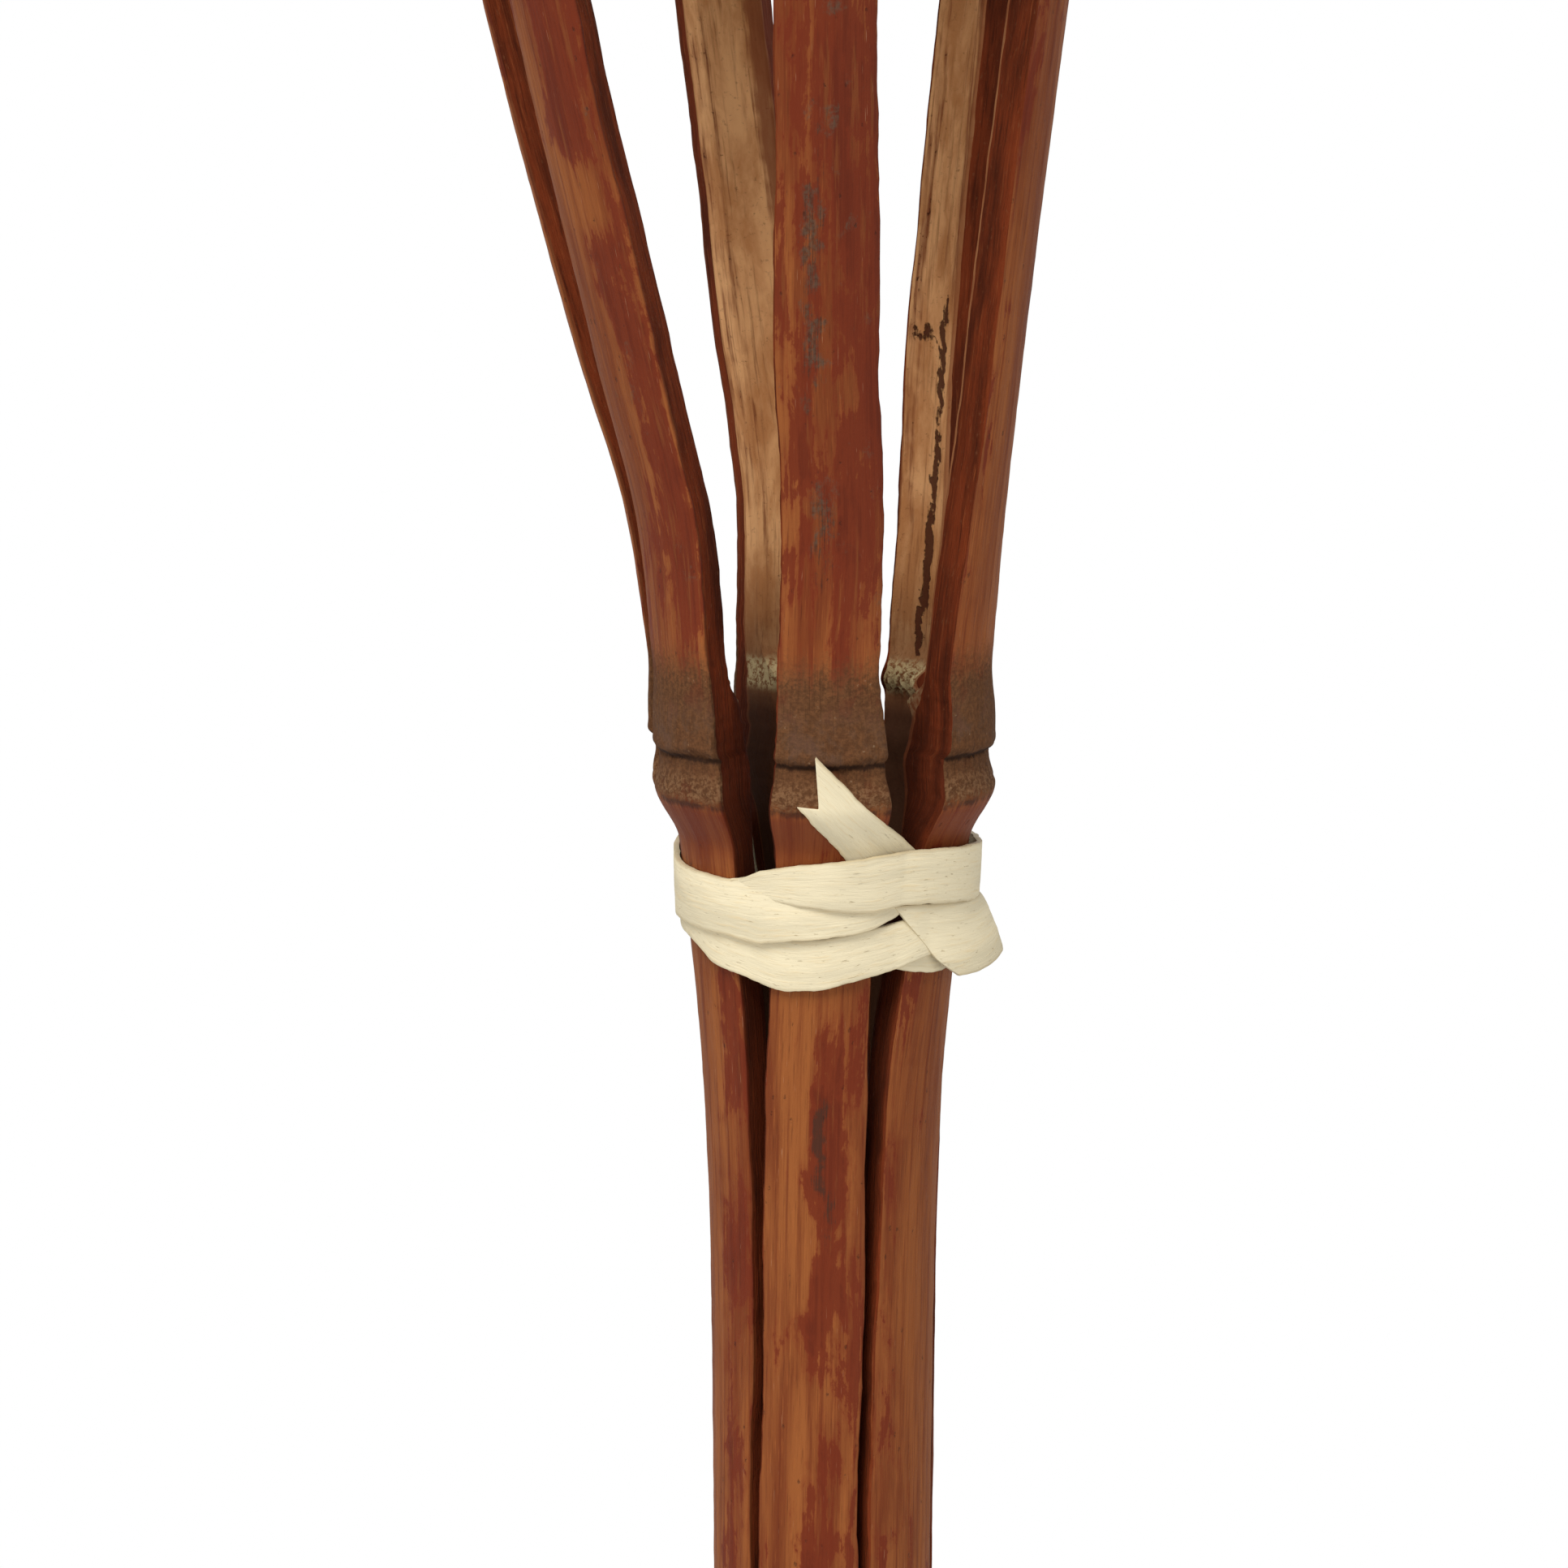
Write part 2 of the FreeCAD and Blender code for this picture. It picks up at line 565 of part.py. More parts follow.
def make_snuffer():
    """The snuffer cap that stands over the wick tube, with its knob and rivet."""
    rest = f"{SEAM} + neck_height + gasket_thickness + cap_top + 3 * rest_gap"
    head_lathe("snuffer_cap", [
        ("snuffer_radius - snuffer_wall", "0"),
        ("snuffer_radius + 1", "0"),
        ("snuffer_radius + 1", "snuffer_wall"),
        ("snuffer_radius", "snuffer_wall"),
        ("snuffer_radius", "snuffer_height - 3"),
        ("snuffer_radius - 3", "snuffer_height"),
        ("rivet_radius", "snuffer_height"),
        ("rivet_radius", "snuffer_height - snuffer_wall"),
        ("snuffer_radius - 3 - 0.5 * snuffer_wall", "snuffer_height - snuffer_wall"),
        ("snuffer_radius - snuffer_wall", "snuffer_height - 3 - 0.5 * snuffer_wall"),
    ], rest)
    head_lathe("snuffer_knob", [
        ("rivet_radius", "snuffer_height"),
        ("0.7 * knob_radius", "snuffer_height"),
        ("0.6 * knob_radius", "snuffer_height + 0.3 * knob_height"),
        ("knob_radius", "snuffer_height + 0.55 * knob_height"),
        ("knob_radius", "snuffer_height + 0.8 * knob_height"),
        ("0.6 * knob_radius", "snuffer_height + knob_height"),
        ("rivet_radius", "snuffer_height + knob_height"),
    ], rest)
    under = "snuffer_height - snuffer_wall"
    head_lathe("snuffer_rivet", [
        ("0", f"{under} - 0.8"),
        ("2 * rivet_radius", f"{under} - 0.8"),
        ("2 * rivet_radius", under),
        ("rivet_radius", under),
        ("rivet_radius", "snuffer_height + knob_height"),
        ("1.8 * rivet_radius", "snuffer_height + knob_height"),
        ("rivet_radius", "snuffer_height + knob_height + 0.8"),
        ("0", "snuffer_height + knob_height + 0.8"),
    ], rest)


def check_and_write():
    """Stops on any failed object or shape, then writes one STEP file for each sub-part."""
    failed = [item.Name for item in DOC.Objects if {"Invalid", "Error"} & set(item.State)]
    if failed:
        raise RuntimeError(f"these objects failed: {failed}")
    bad = [node.Label for node in NODES if node.Shape.isNull() or not node.Shape.isValid()]
    if bad:
        raise RuntimeError(f"these shapes are null or invalid: {bad}")
    os.makedirs("parts", exist_ok=True)
    for node in NODES:
        node.Shape.exportStep(os.path.join("parts", f"{node.Label}.step"))
        print(f"{node.Label}: {len(node.Shape.Solids)} solid, {node.Shape.Volume / 1000:.2f} cm3")


def main():
    make_pole()
    for index in range(STAVE_COUNT):
        make_stave(index)
    make_tie()
    for index in range(COURSE_COUNT):
        make_course(index)
    inner, outer = hoop_circles()
    make_hoop("rim_hoop_inner", inner)
    make_hoop("rim_hoop_outer", outer)
    make_lashings(inner, outer)
    make_canister()
    make_burner()
    make_snuffer()
    DOC.recompute()
    check_and_write()


main()
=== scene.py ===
import math

import bpy
import numpy as np
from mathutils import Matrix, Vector


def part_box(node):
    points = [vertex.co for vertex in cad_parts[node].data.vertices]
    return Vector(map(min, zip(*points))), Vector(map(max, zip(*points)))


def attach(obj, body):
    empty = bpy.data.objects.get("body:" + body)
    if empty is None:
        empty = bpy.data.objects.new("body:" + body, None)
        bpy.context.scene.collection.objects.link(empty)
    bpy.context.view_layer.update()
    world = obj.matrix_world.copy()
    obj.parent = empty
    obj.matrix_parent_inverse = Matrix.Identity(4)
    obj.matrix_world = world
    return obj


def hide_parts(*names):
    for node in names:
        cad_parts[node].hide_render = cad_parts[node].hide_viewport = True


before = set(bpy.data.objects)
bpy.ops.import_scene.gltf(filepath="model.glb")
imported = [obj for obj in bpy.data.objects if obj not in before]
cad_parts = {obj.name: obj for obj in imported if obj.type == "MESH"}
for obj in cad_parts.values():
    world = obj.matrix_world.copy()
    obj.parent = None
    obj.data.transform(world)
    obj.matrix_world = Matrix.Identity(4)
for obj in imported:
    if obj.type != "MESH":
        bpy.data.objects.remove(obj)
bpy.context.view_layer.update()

bl_info = {
    "name": "Tiki Torch",
    "version": (1, 0, 0),
    "blender": (4, 5, 0),
    "location": "3D View > Sidebar > Torch",
    "description": "Models the split cane, its rattan tie, the woven basket and the burner of a tiki torch",
    "category": "Add Mesh",
}

MM = 0.001
CANE_RADIUS = 0.014
STAVE_NODES = (
    "stave_front", "stave_front_right", "stave_back_right", "stave_back", "stave_back_left", "stave_front_left"
)
BACK_RIGHT, BACK = 2, 3
STAVE_RINGS = 361
POLE_SIDES = 96
CUT_TOP = -0.14  # the slanting cut of the pole lies under this height
HOOP_JOINTS = 58  # millimetres of hoop from joint to joint
COURSES = [f"weave_course_{number:02d}" for number in range(1, 13)]
HOOPS = ("rim_hoop_inner", "rim_hoop_outer")


# ---------------------------------------------------------------- settings


class TorchCaneSettings(bpy.types.PropertyGroup):
    node_height: bpy.props.FloatProperty(
        name="Tied node", description="Height of the leaf scar just over the tie", default=0.705, unit="LENGTH"
    )
    split_wander: bpy.props.FloatProperty(
        name="Split wander", description="How far the split faces stray sideways", default=0.00028, unit="LENGTH"
    )
    scar_depth: bpy.props.FloatProperty(
        name="Scar depth", description="Depth of the groove under the leaf scar", default=0.0005, unit="LENGTH"
    )
    skin_colour: bpy.props.FloatVectorProperty(
        name="Skin", description="Varnished skin of the cane",
        default=(0.262, 0.080, 0.0195), subtype="COLOR", size=3,
    )
    stain_colour: bpy.props.FloatVectorProperty(
        name="Stain", description="Dark red stain in the skin",
        default=(0.132, 0.0185, 0.0050), subtype="COLOR", size=3,
    )
    split_colour: bpy.props.FloatVectorProperty(
        name="Split faces", description="Stained faces of the splits",
        default=(0.140, 0.024, 0.0055), subtype="COLOR", size=3,
    )
    wall_colour: bpy.props.FloatVectorProperty(
        name="Inner wall", description="Bare wall inside the cane",
        default=(0.640, 0.345, 0.150), subtype="COLOR", size=3,
    )
    dust_colour: bpy.props.FloatVectorProperty(
        name="Node dust", description="Grey-brown dust on the nodes",
        default=(0.078, 0.033, 0.0125), subtype="COLOR", size=3,
    )


class TorchTieSettings(bpy.types.PropertyGroup):
    thickness: bpy.props.FloatProperty(
        name="Strip thickness", description="Thickness of the rattan strip", default=0.0007, unit="LENGTH"
    )
    colour: bpy.props.FloatVectorProperty(
        name="Tie", description="Dry bare rattan of the tie", default=(0.735, 0.640, 0.432), subtype="COLOR", size=3
    )


class TorchBasketSettings(bpy.types.PropertyGroup):
    weave_colour: bpy.props.FloatVectorProperty(
        name="Weave", description="Split rattan of the basket", default=(0.40, 0.215, 0.085), subtype="COLOR", size=3
    )
    hoop_colour: bpy.props.FloatVectorProperty(
        name="Hoops", description="Round cane of the rim", default=(0.30, 0.135, 0.048), subtype="COLOR", size=3
    )


class TorchHeadSettings(bpy.types.PropertyGroup):
    paint_colour: bpy.props.FloatVectorProperty(
        name="Paint", description="Satin paint of the canister", default=(0.020, 0.020, 0.022), subtype="COLOR", size=3
    )
    steel_colour: bpy.props.FloatVectorProperty(
        name="Steel", description="Spun steel of the caps", default=(0.55, 0.55, 0.54), subtype="COLOR", size=3
    )
    brass_colour: bpy.props.FloatVectorProperty(
        name="Brass", description="Wick tube and rivet", default=(0.70, 0.50, 0.20), subtype="COLOR", size=3
    )


# ---------------------------------------------------------------- shader maths


class Strand:
    """A value in a finish. Arithmetic on it adds Math nodes."""

    def __init__(self, finish, socket):
        self.finish, self.socket = finish, socket

    def maths(self, operation, *values):
        return self.finish.node("ShaderNodeMath", {"operation": operation}, dict(enumerate(values)))

    def __add__(self, other):
        return self.maths("ADD", self, other)

    def __sub__(self, other):
        return self.maths("SUBTRACT", self, other)

    def __mul__(self, other):
        return self.maths("MULTIPLY", self, other)

    def __truediv__(self, other):
        return self.maths("DIVIDE", self, other)

    __radd__ = __add__
    __rmul__ = __mul__

    def power(self, exponent):
        return self.maths("POWER", self, exponent)

    def greatest(self, other):
        return self.maths("MAXIMUM", self, other)

    def size(self):
        return self.maths("ABSOLUTE", self)

    def between(self, low, high):
        """0 under low, 1 over high, smooth between; falls instead when low is over high."""
        values = {"Value": self, "From Min": low, "From Max": high}
        return self.finish.node("ShaderNodeMapRange", {"interpolation_type": "SMOOTHSTEP"}, values)


class Finish:
    """A node material under construction."""

    def __init__(self, name, **constants):
        self.material = bpy.data.materials.new(name)
        self.material.use_nodes = True
        self.tree = self.material.node_tree
        self.shader = self.tree.nodes["Principled BSDF"]
        for socket, value in constants.items():
            self.shader.inputs[socket.replace("_", " ")].default_value = value

    def node(self, kind, settings=(), inputs=(), output=0):
        node = self.tree.nodes.new(kind)
        for key, value in dict(settings).items():
            setattr(node, key, value)
        for key, value in dict(inputs).items():
            if isinstance(value, Strand):
                self.tree.links.new(value.socket, node.inputs[key])
            else:
                node.inputs[key].default_value = value
        return Strand(self, node.outputs[output])

    def place(self):
        """Object coordinates, in millimetres."""
        return self.stretched(self.node("ShaderNodeTexCoord", output="Object"), (1000, 1000, 1000))

    def attribute(self, name, output="Fac"):
        return self.node("ShaderNodeAttribute", {"attribute_name": name}, output=output)

    def stretched(self, vector, factors):
        return self.node("ShaderNodeVectorMath", {"operation": "MULTIPLY"}, {0: vector, 1: factors})

    def shifted(self, vector, other):
        return self.node("ShaderNodeVectorMath", {"operation": "ADD"}, {0: vector, 1: other})

    def parts(self, vector):
        return [self.node("ShaderNodeSeparateXYZ", inputs={0: vector}, output=axis) for axis in range(3)]

    def joined(self, x, y, z):
        return self.node("ShaderNodeCombineXYZ", inputs={0: x, 1: y, 2: z})

    def noise(self, vector, scale, detail=3.0, roughness=0.55, distortion=0.0):
        values = {"Vector": vector, "Scale": scale, "Detail": detail, "Roughness": roughness, "Distortion": distortion}
        return self.node("ShaderNodeTexNoise", inputs=values, output="Fac")

    def drawn(self, vector, factors, *settings):
        """Noise on a stretched vector."""
        return self.noise(self.stretched(vector, factors), *settings)

    def cells(self, vector, scale):
        return self.node("ShaderNodeTexVoronoi", {}, {"Vector": vector, "Scale": scale}, "Distance")

    def mixed(self, amount, first, second):
        """The first colour, covered by the second as the amount goes from 0 to 1."""
        colours = [(*c, 1.0) if isinstance(c, tuple) and len(c) == 3 else c for c in (first, second)]
        return self.node(
            "ShaderNodeMix",
            {"data_type": "RGBA", "clamp_factor": True},
            {0: amount, 6: colours[0], 7: colours[1]},
            2,
        )

    def surface(self, colour, roughness=None, height=None, depth=0.1):
        """Links what varies; depth is the relief in millimetres between height 0 and 1."""
        for name, value in (("Base Color", colour), ("Roughness", roughness)):
            if value is not None:
                self.tree.links.new(value.socket, self.shader.inputs[name])
        if height is not None:
            bump = self.node("ShaderNodeBump", inputs={"Strength": 1.0, "Distance": depth * MM, "Height": height})
            self.tree.links.new(bump.socket, self.shader.inputs["Normal"])
        return self.material


def tinted(colour, factor):
    return tuple(min(1.0, channel * factor) for channel in colour)


# ---------------------------------------------------------------- modelling helpers


def deselect():
    if bpy.context.object and bpy.context.object.mode != "OBJECT":
        bpy.ops.object.mode_set(mode="OBJECT")
    bpy.ops.object.select_all(action="DESELECT")


def named(name):
    piece = bpy.context.object
    piece.name = piece.data.name = name
    return piece


def points_of(piece):
    flat = np.zeros(len(piece.data.vertices) * 3)
    piece.data.vertices.foreach_get("co", flat)
    return flat.reshape(-1, 3)


def move_points(piece, points):
    piece.data.vertices.foreach_set("co", np.ascontiguousarray(points, dtype=np.float32).ravel())
    piece.data.update()


def keep_vectors(piece, name, values):
    layer = piece.data.attributes.new(name, "FLOAT_VECTOR", "POINT")
    layer.data.foreach_set("vector", np.ascontiguousarray(values, dtype=np.float32).ravel())


def keep_numbers(piece, name, values):
    layer = piece.data.attributes.new(name, "FLOAT", "POINT")
    layer.data.foreach_set("value", np.ascontiguousarray(values, dtype=np.float32))


def apply_modifier(piece, kind, **settings):
    bpy.context.view_layer.objects.active = piece
    modifier = piece.modifiers.new(kind.title(), kind)
    for key, value in settings.items():
        setattr(modifier, key, value)
    bpy.ops.object.modifier_apply(modifier=modifier.name)


def add_tube(name, sides, rings):
    """A cylinder with `rings` rings, and for every vertex its side number and ring number."""
    deselect()
    bpy.ops.mesh.primitive_cylinder_add(vertices=sides, radius=1, depth=1, end_fill_type="NGON")
    piece = named(name)
    spans = rings - 1
    first = next(n for n in range(100, 0, -1) if spans % n == 0)
    if spans // first > 100:
        raise RuntimeError(f"{name}: {spans} spans can't be cut in two rounds")
    for parts in (first, spans // first):
        if parts == 1:
            continue
        bpy.ops.object.mode_set(mode="EDIT")
        bpy.ops.mesh.select_mode(type="EDGE")
        bpy.ops.mesh.select_all(action="DESELECT")
        bpy.ops.object.mode_set(mode="OBJECT")
        for edge in piece.data.edges:
            low, high = (piece.data.vertices[i].co for i in edge.vertices)
            edge.select = abs(low.z - high.z) > 0.5 / rings
        bpy.ops.object.mode_set(mode="EDIT")
        bpy.ops.mesh.subdivide(number_cuts=parts - 1)
        bpy.ops.object.mode_set(mode="OBJECT")
    start = points_of(piece)
    side = np.round(np.arctan2(start[:, 1], start[:, 0]) / (2 * np.pi) * sides).astype(int) % sides
    ring = np.round((start[:, 2] + 0.5) * spans).astype(int)
    return piece, side, ring


def add_ring(name, around, section):
    """A torus, and for every vertex its place around the ring and around the section, from 0 to 1."""
    deselect()
    bpy.ops.mesh.primitive_torus_add(major_segments=around, minor_segments=section, major_radius=1, minor_radius=0.25)
    piece = named(name)
    start = points_of(piece)
    across = np.hypot(start[:, 0], start[:, 1]) - 1
    turn = np.round(np.arctan2(start[:, 1], start[:, 0]) / (2 * np.pi) * around) % around / around
    slot = np.round(np.arctan2(start[:, 2], across) / (2 * np.pi) * section) % section / section
    return piece, turn, slot


def add_sheet(name, along, across):
    """A grid, and for every vertex its place along and across it, from 0 to 1."""
    deselect()
    bpy.ops.mesh.primitive_grid_add(x_subdivisions=along, y_subdivisions=across, size=1)
    piece = named(name)
    start = points_of(piece)
    return piece, start[:, 0] + 0.5, start[:, 1] + 0.5


def outward(piece):
    bpy.context.view_layer.objects.active = piece
    bpy.ops.object.mode_set(mode="EDIT")
    bpy.ops.mesh.select_all(action="SELECT")
    bpy.ops.mesh.normals_make_consistent(inside=False)
    bpy.ops.object.mode_set(mode="OBJECT")


def smoothed(piece, degrees=35):
    deselect()
    piece.select_set(True)
    bpy.context.view_layer.objects.active = piece
    bpy.ops.object.shade_smooth_by_angle(angle=math.radians(degrees))


def joined_piece(name, pieces):
    deselect()
    for piece in pieces:
        piece.select_set(True)
    bpy.context.view_layer.objects.active = pieces[0]
    bpy.ops.object.join()
    return named(name)


def ripple(where, seed, waves=6, roughness=0.75):
    """A fixed irregular wave of about -1 to 1; where is in cycles of its longest wave."""
    dice = np.random.default_rng(seed)
    total, reach = 0.0, 0.0
    for number in range(waves):
        size = roughness**number
        total = total + size * np.sin(2 * np.pi * (1.7**number * where + dice.random()))
        reach += size
    return total / reach * 1.6


def squared(value, power):
    """A sine or cosine pushed out towards the corners of a square."""
    return np.sign(value) * np.abs(value) ** power


def smooth(knots, values, at):
    """A cubic curve through the knots that never overshoots them."""
    knots, values, at = (np.asarray(item, dtype=float) for item in (knots, values, at))
    gaps = np.diff(knots)
    slopes = np.diff(values) / gaps
    tangents = np.zeros(len(knots))
    tangents[0], tangents[-1] = slopes[0], slopes[-1]
    before, after = 2 * gaps[1:] + gaps[:-1], gaps[1:] + 2 * gaps[:-1]
    steady = slopes[:-1] * slopes[1:] > 0
    with np.errstate(divide="ignore", invalid="ignore"):
        blend = (before + after) / (before / slopes[:-1] + after / slopes[1:])
    tangents[1:-1] = np.where(steady, blend, 0)
    k = np.clip(np.searchsorted(knots, at) - 1, 0, len(gaps) - 1)
    t = np.clip((at - knots[k]) / gaps[k], 0, 1)
    return (
        (2 * t**3 - 3 * t**2 + 1) * values[k]
        + (t**3 - 2 * t**2 + t) * gaps[k] * tangents[k]
        + (3 * t**2 - 2 * t**3) * values[k + 1]
        + (t**3 - t**2) * gaps[k] * tangents[k + 1]
    )


# ---------------------------------------------------------------- the cane's measures


def stave_sections(node):
    """Rows of height, centre x and y, bearing, outer and inner radius and half angle, read from the CAD stave."""
    points = points_of(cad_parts[node])
    rows = []
    for height in np.unique(np.round(points[:, 2], 5)):
        ring = np.unique(np.round(points[np.abs(points[:, 2] - height) < 2e-5, :2], 7), axis=0)
        if len(ring) < 12:
            continue
        apart = np.linalg.norm(ring[:, None] - ring[None], axis=2)
        one, two = (ring[i] for i in np.unravel_index(apart.argmax(), apart.shape))
        half, middle = apart.max() / 2, (one + two) / 2
        along = (two - one) / (2 * half)
        out = np.array([along[1], -along[0]])
        if (ring - middle).dot(out).max() > -(ring - middle).dot(out).min():
            out = -out
        y = (ring - middle).dot(out)
        x = (ring - middle).dot(along)
        arc = y > 2e-4
        shift = np.mean((x[arc] ** 2 + y[arc] ** 2 - half**2) / (2 * y[arc]))
        centre = middle + shift * out
        outer = math.hypot(half, shift)
        inner = np.linalg.norm(ring - centre, axis=1).min()
        rows.append((height, *centre, math.atan2(out[0], -out[1]), outer, inner, math.asin(half / outer)))
    rows = np.array(rows)
    rows[:, 3] = np.unwrap(rows[:, 3])
    return rows


sections = {node: stave_sections(node) for node in STAVE_NODES}


def section_at(node, height):
    rows = sections[node]
    return [smooth(rows[:, 0], rows[:, column], height) for column in range(1, 7)]


def bundle_reach(bearing, height):
    """How far out the tied staves reach at a bearing and height."""
    reach = np.full(np.shape(bearing), -1.0)
    for node in STAVE_NODES:
        x, y, turn, outer, _, half = section_at(node, height)
        off = (bearing - turn + np.pi) % (2 * np.pi) - np.pi
        near = np.clip(off, -half, half)
        centre = x * np.sin(bearing) - y * np.cos(bearing)
        reach = np.maximum(reach, centre + outer * np.cos(off - near))
    return reach


def node_heights():
    """Heights of the cane's leaf scars: the grooves of the pole's outline, and the tied node."""
    points = points_of(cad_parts["pole"])
    heights, radii = pole_outline(points)
    dips = [
        height
        for height, before, radius, after in zip(heights[1:], radii, radii[1:], radii[2:])
        if radius < min(before, after) - MM
    ]
    return dips + [bpy.context.scene.torch_cane.node_height]


def pole_outline(points):
    """Height and outer radius down the pole, over the slanting cut."""
    radii = np.hypot(points[:, 0], points[:, 1])
    heights, outline = [], []
    for height in np.unique(np.round(points[:, 2], 4)):
        level = radii[np.abs(points[:, 2] - height) < 1e-4]
        if height > -0.15 and level.max() > 0.013:
            heights.append(height)
            outline.append(level.max())
    return heights, outline


def nearest_rise(heights, nodes):
    gaps = np.asarray(heights)[:, None] - np.asarray(nodes)[None]
    return gaps[np.arange(len(gaps)), np.abs(gaps).argmin(axis=1)]


def scar_relief(rise, around, seed):
    """Height of the fine relief of a node: groove, lip and flaking edge, in metres. around is a bearing."""
    wave = 0.45 * MM * ripple(around * 0.8, seed, 5, 0.7)
    step = rise - wave
    depth = bpy.context.scene.torch_cane.scar_depth
    groove = -depth * np.exp(-((step / (0.38 * MM)) ** 2))
    lip = 0.32 * MM * np.exp(-(((step - 1.0 * MM) / (0.85 * MM)) ** 2))
    crease = -0.14 * MM * np.exp(-(((rise + 4.0 * MM + 1.2 * wave) / (0.45 * MM)) ** 2))
    return groove + lip + crease


# ---------------------------------------------------------------- cane


def spaced_heights(low, high, node, rings):
    """Heights from low to high, close together round the tied node."""
    at = np.linspace(low, high, 4001)
    gap = np.abs(at - node)
    pitch = np.array([0.22, 0.3, 0.7, 1.1, 1.5, 3.5, 5]) * MM
    density = 1 / np.interp(gap, [0, 0.010, 0.016, 0.03, 0.11, 0.2, 0.3], pitch)
    total = np.concatenate([[0], np.cumsum((density[1:] + density[:-1]) / 2 * np.diff(at))])
    return np.interp(np.linspace(0, total[-1], rings), total, at)


def stave_outline():
    """Round a section: lateral place -1 to 1, radial place 0 (inside) to 1 (outside), and finish (0 to 2)."""
    skin = [(p, 1.0, 0) for p in np.linspace(-0.955, 0.955, 19)]
    right = [(0.995, 0.965, 0)] + [(1.0, q, 1) for q in np.linspace(0.90, 0.10, 7)] + [(0.985, 0.03, 1)]
    inside = [(p, 0.0, 2) for p in np.linspace(0.93, -0.93, 11)]
    left = [(-0.985, 0.03, 2)] + [(-1.0, q, 1) for q in np.linspace(0.10, 0.90, 7)] + [(-0.995, 0.965, 1)]
    return np.array(skin + right + inside + left)


# Marks on the skin, then on the split faces and the wall: stave number, lateral place and its reach, rise and
# its reach in millimetres, and how much is added to the stain and to the mildew (inside: to the cracks).
STAINS = (
    (0, 0.62, 0.65, 62, 50, 0.17, 0.02), (0, 0.1, 0.35, 85, 22, 0.14, 0.09), (0, -0.3, 0.24, 60, 22, 0.06, 0.19),
    (0, -0.2, 0.26, 27, 8, 0.06, 0.20), (0, 0.28, 0.30, -56, 21, 0.20, 0.02), (0, 0.08, 0.16, -49, 7, 0.08, 0.24),
    (0, 0.3, 0.16, -60, 6, 0.06, 0.16), (0, 0.2, 0.3, -100, 12, 0.16, 0.10), (0, -0.6, 0.5, -60, 60, -0.12, -0.10),
    (0, 0.85, 0.2, -80, 50, 0.05, 0.0), (0, -0.7, 0.3, 88, 20, 0.08, 0.0), (0, -0.55, 0.3, 30, 22, 0.08, 0.0),
    (5, 0.35, 0.6, 87, 13, 0.26, 0.0), (5, 0.1, 0.6, 71, 5, -0.2, -0.1), (5, 0.55, 0.4, 46, 26, 0.20, 0.04),
    (5, -0.55, 0.35, 50, 30, -0.1, 0.0), (5, 0.1, 0.8, 20, 12, 0.10, 0.05), (5, 0.72, 0.3, -38, 10, 0.20, 0.0),
    (5, 0.6, 0.35, -62, 9, 0.18, 0.03), (5, 0.5, 0.3, -100, 14, 0.16, 0.0), (5, -0.4, 0.6, -60, 60, -0.24, -0.1),
    (1, 0.0, 0.9, 50, 50, -0.20, -0.05), (1, -0.85, 0.25, 60, 50, 0.14, 0.0), (1, -0.75, 0.3, -60, 50, 0.10, 0.0),
    (1, 0.2, 0.8, -60, 60, -0.16, 0.02), (4, 0.0, 1.0, 70, 50, -0.10, -0.05), (5, -0.3, 0.4, -12, 6, 0.0, 0.20),
)
CRACKS = (
    (2, -0.46, 0.13, 47, 8, 0.0, 0.32), (2, -0.38, 0.14, 33, 5, 0.0, 0.33), (2, -0.26, 0.16, 22, 6, 0.0, 0.33),
    (2, -0.08, 0.13, 13, 4, 0.0, 0.31), (2, 0.15, 0.6, 50, 1.0, 0.0, 0.17), (2, -0.8, 0.2, 80, 30, 0.10, 0.0),
    (3, -0.75, 0.3, 70, 60, 0.16, 0.0), (3, 0.85, 0.2, 60, 40, 0.08, 0.05), (2, 0.7, 0.2, 60, 40, 0.1, 0.05),
)


# Where a stave leans towards its neighbour near the tie, which its CAD solid does not: rise and its reach in
# millimetres, and degrees.
HUGS = {BACK_RIGHT: (-36, 17, 6.5), BACK: (-10, 7, 2.5)}


def soaked(table, number, lateral, rise):
    """What the table adds to the stain and to the mildew or cracks at each place on a stave."""
    total = np.zeros((len(rise), 3))
    lateral = lateral + 0.07 * ripple(rise / MM * 0.16, 41 + number, 7)
    rise = rise + 1.1 * MM * ripple(lateral * 3.5, 61 + number, 5)
    for stave, place, reach, height, tall, stain, mildew in table:
        if stave == number:
            near = np.exp(-(((lateral - place) / reach) ** 4) - (((rise / MM - height) / tall) ** 4))
            total[:, 0] += stain * near
            total[:, 1] += mildew * near
    return total


